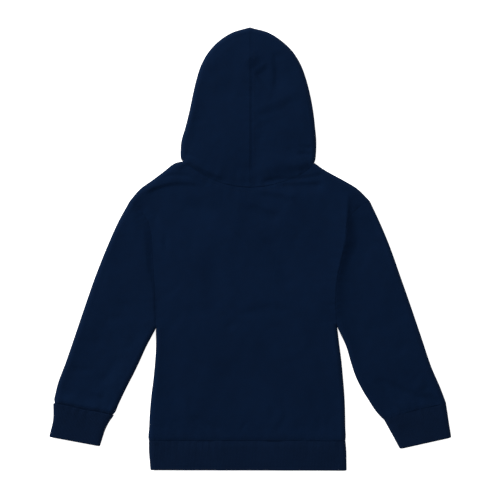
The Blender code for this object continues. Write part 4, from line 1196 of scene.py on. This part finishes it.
def stitches(name, paths, pitch=3.4, length=2.9, radius=0.24, lift=-0.03):
    """Threads along the paths, each stitch a low bead of thread that dips at its
    two ends."""
    verts, faces = [], []
    sides = 6
    shares = (0.0, 0.14, 0.5, 0.86, 1.0)
    girth = (0.4, 0.95, 1.0, 0.95, 0.4)
    sink = (-0.7, 0.0, 0.3, 0.0, -0.7)
    for o, n in paths:
        step = np.linalg.norm(np.diff(o, axis=0), axis=1)
        s = np.concatenate([[0], np.cumsum(step)])
        count = int((s[-1] - 1.0) / pitch)
        for k in range(count):
            at = 0.5 + k * pitch + length * np.array(shares)
            c = np.column_stack([np.interp(at, s, o[:, q]) for q in range(3)])
            nn = np.column_stack([np.interp(at, s, n[:, q]) for q in range(3)])
            nn /= np.linalg.norm(nn, axis=1)[:, None]
            t = c[-1] - c[0]
            t /= max(np.linalg.norm(t), 1e-9)
            start = len(verts)
            for q in range(5):
                side = np.cross(nn[q], t)
                side /= max(np.linalg.norm(side), 1e-9)
                mid = c[q] + nn[q] * (lift + sink[q] * radius)
                for w in range(sides):
                    ang = 2 * math.pi * w / sides
                    verts.append(mid + radius * girth[q] * (math.cos(ang) * side + math.sin(ang) * nn[q]))
            for q in range(4):
                for w in range(sides):
                    w2 = (w + 1) % sides
                    faces.append((start + q * sides + w, start + q * sides + w2,
                                  start + (q + 1) * sides + w2, start + (q + 1) * sides + w))
            faces.append(tuple(start + w for w in reversed(range(sides))))
            faces.append(tuple(start + 4 * sides + w for w in range(sides)))
    v = (np.array(verts) - [CENTRE[0], CENTRE[1], 0.0]) * MM
    v[:, 2] = np.maximum(v[:, 2], 0.00002)
    mesh = bpy.data.meshes.new(name)
    mesh.from_pydata(v.tolist(), [], faces)
    mesh.polygons.foreach_set("use_smooth", np.ones(len(faces), bool))
    mesh.update()
    obj = bpy.data.objects.new(name, mesh)
    bpy.context.scene.collection.objects.link(obj)
    made[name] = obj
    return obj


def on(cloth, curve, a, upper, trim=0.0):
    return path_on(cloth, offset(curve, a, trim=trim), upper)


stitches("v_stitch_neck", [
    on(back, back_neck, -6.2, True, 4.0),
    on(front, front_neck, -6.2, False, 4.0)])
stitches("v_stitch_hood", [
    on(hood_r, hood_seam, -5.4, True, 1.0),
    on(hood_under_l, face_l, 20.0, False, 24.0),
    on(hood_under_r, face_r, -20.0, False, 24.0)])
stitches("v_stitch_hem", [
    on(back, hem_seam, 2.6, True), on(back, hem_seam, 7.4, True),
    on(front, hem_seam, 2.6, False), on(front, hem_seam, 7.4, False)])
stitches("v_stitch_cuff", [
    on(sleeve_l, cuff_seam_l, 3.0, True), on(sleeve_l, cuff_seam_l, 3.0, False),
    on(sleeve_r, cuff_seam_r, -3.0, True), on(sleeve_r, cuff_seam_r, -3.0, False)])


# --------------------------------------------------------------- materials
NAVY = (0.00133, 0.00716, 0.0245)


def tint(c, k):
    return (c[0] * k, c[1] * k, c[2] * k, 1.0)


class Nodes:
    def __init__(self, name):
        self.mat = bpy.data.materials.new(name)
        self.mat.use_nodes = True
        self.tree = self.mat.node_tree
        self.bsdf = self.tree.nodes["Principled BSDF"]
        self.uv = self.tree.nodes.new("ShaderNodeTexCoord").outputs["UV"]

    def node(self, kind, **values):
        n = self.tree.nodes.new(kind)
        for k, v in values.items():
            setattr(n, k, v)
        return n

    def put(self, socket, value):
        if isinstance(value, bpy.types.NodeSocket):
            self.tree.links.new(value, socket)
        else:
            socket.default_value = value

    def math(self, op, a, b=None, c=None):
        n = self.node("ShaderNodeMath", operation=op)
        for socket, value in zip(n.inputs, (a, b, c)):
            if value is not None:
                self.put(socket, value)
        return n.outputs[0]

    def noise(self, scale, detail=3.0, rough=0.55, vector=None):
        n = self.node("ShaderNodeTexNoise")
        self.put(n.inputs["Vector"], vector or self.uv)
        n.inputs["Scale"].default_value = scale
        n.inputs["Detail"].default_value = detail
        n.inputs["Roughness"].default_value = rough
        return n.outputs["Fac"]

    def ramp(self, fac, stops):
        n = self.node("ShaderNodeValToRGB")
        self.put(n.inputs["Fac"], fac)
        e = n.color_ramp.elements
        e[0].position, e[0].color = stops[0]
        e[1].position, e[1].color = stops[-1]
        for pos, col in stops[1:-1]:
            x = e.new(pos)
            x.color = col
        return n.outputs["Color"]

    def mix(self, fac, a, b, blend="MIX"):
        n = self.node("ShaderNodeMix", data_type="RGBA", blend_type=blend)
        self.put(n.inputs[0], fac)
        self.put(n.inputs[6], a)
        self.put(n.inputs[7], b)
        return n.outputs[2]

    def bump(self, height, distance, strength=1.0, below=None):
        n = self.node("ShaderNodeBump")
        n.inputs["Strength"].default_value = strength
        n.inputs["Distance"].default_value = distance
        self.put(n.inputs["Height"], height)
        if below is not None:
            self.tree.links.new(below, n.inputs["Normal"])
        return n.outputs["Normal"]


def knit(g, wale, course, slant):
    """Height of a knitted face: columns of V stitches. The columns are wale wide
    and the stitches course high, in metres."""
    sep = g.node("ShaderNodeSeparateXYZ")
    g.put(sep.inputs[0], g.uv)
    u, v = sep.outputs["X"], sep.outputs["Y"]
    wob = g.math("MULTIPLY", g.math("SUBTRACT", g.noise(260.0, 2.0), 0.5), 0.5)
    x = g.math("ADD", g.math("MULTIPLY", u, 1.0 / wale), wob)
    t = g.math("ABSOLUTE", g.math("SUBTRACT", g.math("FRACT", x), 0.5))       # 0 mid, .5 edge
    y = g.math("ADD", g.math("MULTIPLY", v, 1.0 / course), g.math("MULTIPLY", t, slant))
    y = g.math("ADD", y, wob)
    loop = g.math("ABSOLUTE", g.math("SUBTRACT", g.math("FRACT", y), 0.5))
    leg = g.math("SUBTRACT", 1.0, g.math("MULTIPLY", g.math("ABSOLUTE", g.math("SUBTRACT", t, 0.25)), 4.0))
    leg = g.math("POWER", g.math("MAXIMUM", leg, 0.0), 0.6)
    body = g.math("SUBTRACT", 1.0, g.math("MULTIPLY", loop, 1.5))
    return g.math("MULTIPLY", leg, body)


def cloth_material(name, base_colour, wale=0.00095, course=0.00078, knit_depth=0.00016,
                   fuzz_depth=0.00016, spread_=0.16, rough=0.92):
    g = Nodes(name)
    slow = g.noise(9.0, 4.0, 0.6)
    mid = g.noise(70.0, 3.0, 0.6)
    fleck = g.noise(900.0, 2.0, 0.7)
    face = knit(g, wale, course, 1.4)
    k = g.math("ADD", g.math("MULTIPLY", slow, 0.45), g.math("MULTIPLY", mid, 0.3))
    k = g.math("ADD", k, g.math("MULTIPLY", fleck, 0.25))
    colour = g.ramp(k, [(0.3, tint(base_colour, 1 - spread_)),
                        (0.5, tint(base_colour, 1.0)),
                        (0.72, tint(base_colour, 1 + spread_))])
    # painted shade: the base colour is darkened in the furrows between the knit's loops, and the loop tops are
    # painted a little lighter as a highlight
    painted_knit_shade = g.ramp(face, [(0.0, (0.72, 0.74, 0.78, 1)), (0.75, (1.06, 1.06, 1.05, 1))])
    g.put(g.bsdf.inputs["Base Color"], g.mix(1.0, colour, painted_knit_shade, "MULTIPLY"))
    g.put(g.bsdf.inputs["Roughness"], g.math("ADD", g.math("MULTIPLY", mid, 0.08), rough - 0.04))
    g.bsdf.inputs["Specular IOR Level"].default_value = 0.04
    g.bsdf.inputs["Sheen Weight"].default_value = 0.10
    g.bsdf.inputs["Sheen Roughness"].default_value = 0.55
    g.bsdf.inputs["Sheen Tint"].default_value = (0.06, 0.13, 0.32, 1)
    n = g.bump(face, knit_depth, 0.8)
    n = g.bump(g.noise(1400.0, 3.0, 0.7), fuzz_depth, 0.5, n)
    n = g.bump(g.noise(120.0, 3.0, 0.5), 0.0004, 0.25, n)
    g.put(g.bsdf.inputs["Normal"], n)
    return g.mat


def brushed_material(name, base_colour):
    g = Nodes(name)
    slow = g.noise(14.0, 4.0, 0.6)
    tuft = g.noise(420.0, 4.0, 0.75)
    k = g.math("ADD", g.math("MULTIPLY", slow, 0.35), g.math("MULTIPLY", tuft, 0.65))
    g.put(g.bsdf.inputs["Base Color"], g.ramp(k, [(0.28, tint(base_colour, 0.75)),
                                                  (0.5, tint(base_colour, 1.05)),
                                                  (0.75, tint(base_colour, 1.4))]))
    g.bsdf.inputs["Roughness"].default_value = 0.97
    g.bsdf.inputs["Specular IOR Level"].default_value = 0.03
    g.bsdf.inputs["Sheen Weight"].default_value = 0.18
    g.bsdf.inputs["Sheen Roughness"].default_value = 0.7
    g.bsdf.inputs["Sheen Tint"].default_value = (0.08, 0.16, 0.36, 1)
    n = g.bump(tuft, 0.0012, 0.8)
    n = g.bump(g.noise(60.0, 3.0, 0.6), 0.0015, 0.4, n)
    g.put(g.bsdf.inputs["Normal"], n)
    return g.mat


def thread_material(name, base_colour):
    g = Nodes(name)
    co = g.tree.nodes.new("ShaderNodeTexCoord").outputs["Object"]
    g.put(g.bsdf.inputs["Base Color"],
          g.ramp(g.noise(500.0, 2.0, 0.5, co), [(0.3, tint(base_colour, 0.9)), (0.7, tint(base_colour, 1.25))]))
    g.bsdf.inputs["Roughness"].default_value = 0.75
    g.bsdf.inputs["Specular IOR Level"].default_value = 0.06
    wave = g.node("ShaderNodeTexWave")
    g.put(wave.inputs["Vector"], co)
    wave.inputs["Scale"].default_value = 900.0
    g.put(g.bsdf.inputs["Normal"], g.bump(wave.outputs["Fac"], 0.00006, 0.6))
    return g.mat


fleece_mat = cloth_material("fleece_face", NAVY)
inside_mat = brushed_material("fleece_inside", NAVY)
rib_mat = cloth_material("rib_face", (0.0018, 0.0072, 0.0232), wale=0.00105, course=0.0008,
                         knit_depth=0.00018, fuzz_depth=0.00018)
thread_mat = thread_material("thread", (0.0019, 0.0079, 0.0255))

for name, obj in made.items():
    if name.startswith("v_stitch"):
        obj.data.materials.append(thread_mat)
    elif "cuff" in name or "hem" in name:
        obj.data.materials.append(rib_mat)
        obj.data.materials.append(rib_mat)
    else:
        obj.data.materials.append(fleece_mat)
        obj.data.materials.append(inside_mat)

# ------------------------------------------------- frame, and the CAD parts hidden
STANDS_FOR = {
    "v_back": ("back", "fleece", (0.345, 0.405), 0.1070),
    "v_front": ("front", "fleece", (0.345, 0.405), 0.1030),
    "v_sleeve_l": ("sleeve_l", "fleece", (0.200, 0.316), 0.0505),
    "v_sleeve_r": ("sleeve_r", "fleece", (0.212, 0.318), 0.0545),
    "v_cuff_l": ("cuff_l", "rib", (0.164, 0.047), 0.0076),
    "v_cuff_r": ("cuff_r", "rib", (0.166, 0.049), 0.0080),
    "v_hem_band": ("hem_band", "rib", (0.566, 0.045), 0.0249),
    "v_hood_l": ("hood_l", "fleece", (0.190, 0.262), 0.0329),
    "v_hood_r": ("hood_r", "fleece", (0.190, 0.262), 0.0329),
}
for name, (node, slot, flat, area) in STANDS_FOR.items():
    obj = made[name]
    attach(obj, "root")
    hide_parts(node)
for name, slot in (("v_stitch_neck", "fleece"), ("v_stitch_hood", "fleece"),
                   ("v_stitch_hem", "fleece"), ("v_stitch_cuff", "fleece")):
    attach(made[name], "root")

# ----------------------------------------------------------------- studio
floor_mesh = bpy.data.meshes.new("table")
r = 4.0
floor_mesh.from_pydata([(-r, -r, -0.0004), (r, -r, -0.0004), (r, r, -0.0004), (-r, r, -0.0004)],
                       [], [(0, 1, 2, 3)])
floor = bpy.data.objects.new("table", floor_mesh)
bpy.context.scene.collection.objects.link(floor)
g = Nodes("table_top")
g.bsdf.inputs["Base Color"].default_value = (0.9, 0.9, 0.9, 1)
g.bsdf.inputs["Roughness"].default_value = 1.0
g.bsdf.inputs["Specular IOR Level"].default_value = 0.0
g.bsdf.inputs["Emission Color"].default_value = (1.0, 1.0, 1.0, 1)      # lit from below too
g.bsdf.inputs["Emission Strength"].default_value = 0.8
floor_mesh.materials.append(g.mat)

scene = bpy.context.scene
scene.view_settings.view_transform = "Standard"
scene.view_settings.look = "None"
scene.view_settings.exposure = 0.0
world = bpy.data.worlds.new("studio")
world.use_nodes = True
world.node_tree.nodes["Background"].inputs["Color"].default_value = (1.0, 1.0, 1.0, 1)
world.node_tree.nodes["Background"].inputs["Strength"].default_value = 0.55
scene.world = world


def area_light(name, place, aim, size, power):
    data = bpy.data.lights.new(name, "AREA")
    data.shape = "RECTANGLE"
    data.size, data.size_y = size
    data.energy = power
    o = bpy.data.objects.new(name, data)
    o.location = place
    o.rotation_mode = "QUATERNION"
    o.rotation_quaternion = (Vector(aim) - Vector(place)).to_track_quat("-Z", "Y")
    scene.collection.objects.link(o)


area_light("key", (-2.14, 2.14, 1.9), (0.0, 0.0, 0.0), (1.2, 1.2), 172.0)

cam_data = bpy.data.cameras.new("camera")
cam_data.type = "PERSP"
cam_data.sensor_width = 36.0
cam_data.lens = 130.0
cam = bpy.data.objects.new("camera", cam_data)
cam.location = (0.00055, -0.00135, 2.608)
cam.rotation_mode = "XYZ"
cam.rotation_euler = (0.0, 0.0, 0.0)
scene.collection.objects.link(cam)
scene.camera = cam

total = 0
for name, obj in made.items():
    tris = sum(len(q.vertices) - 2 for q in obj.data.polygons)
    total += tris
    print("tris", name, tris)
print("tris in all", total)
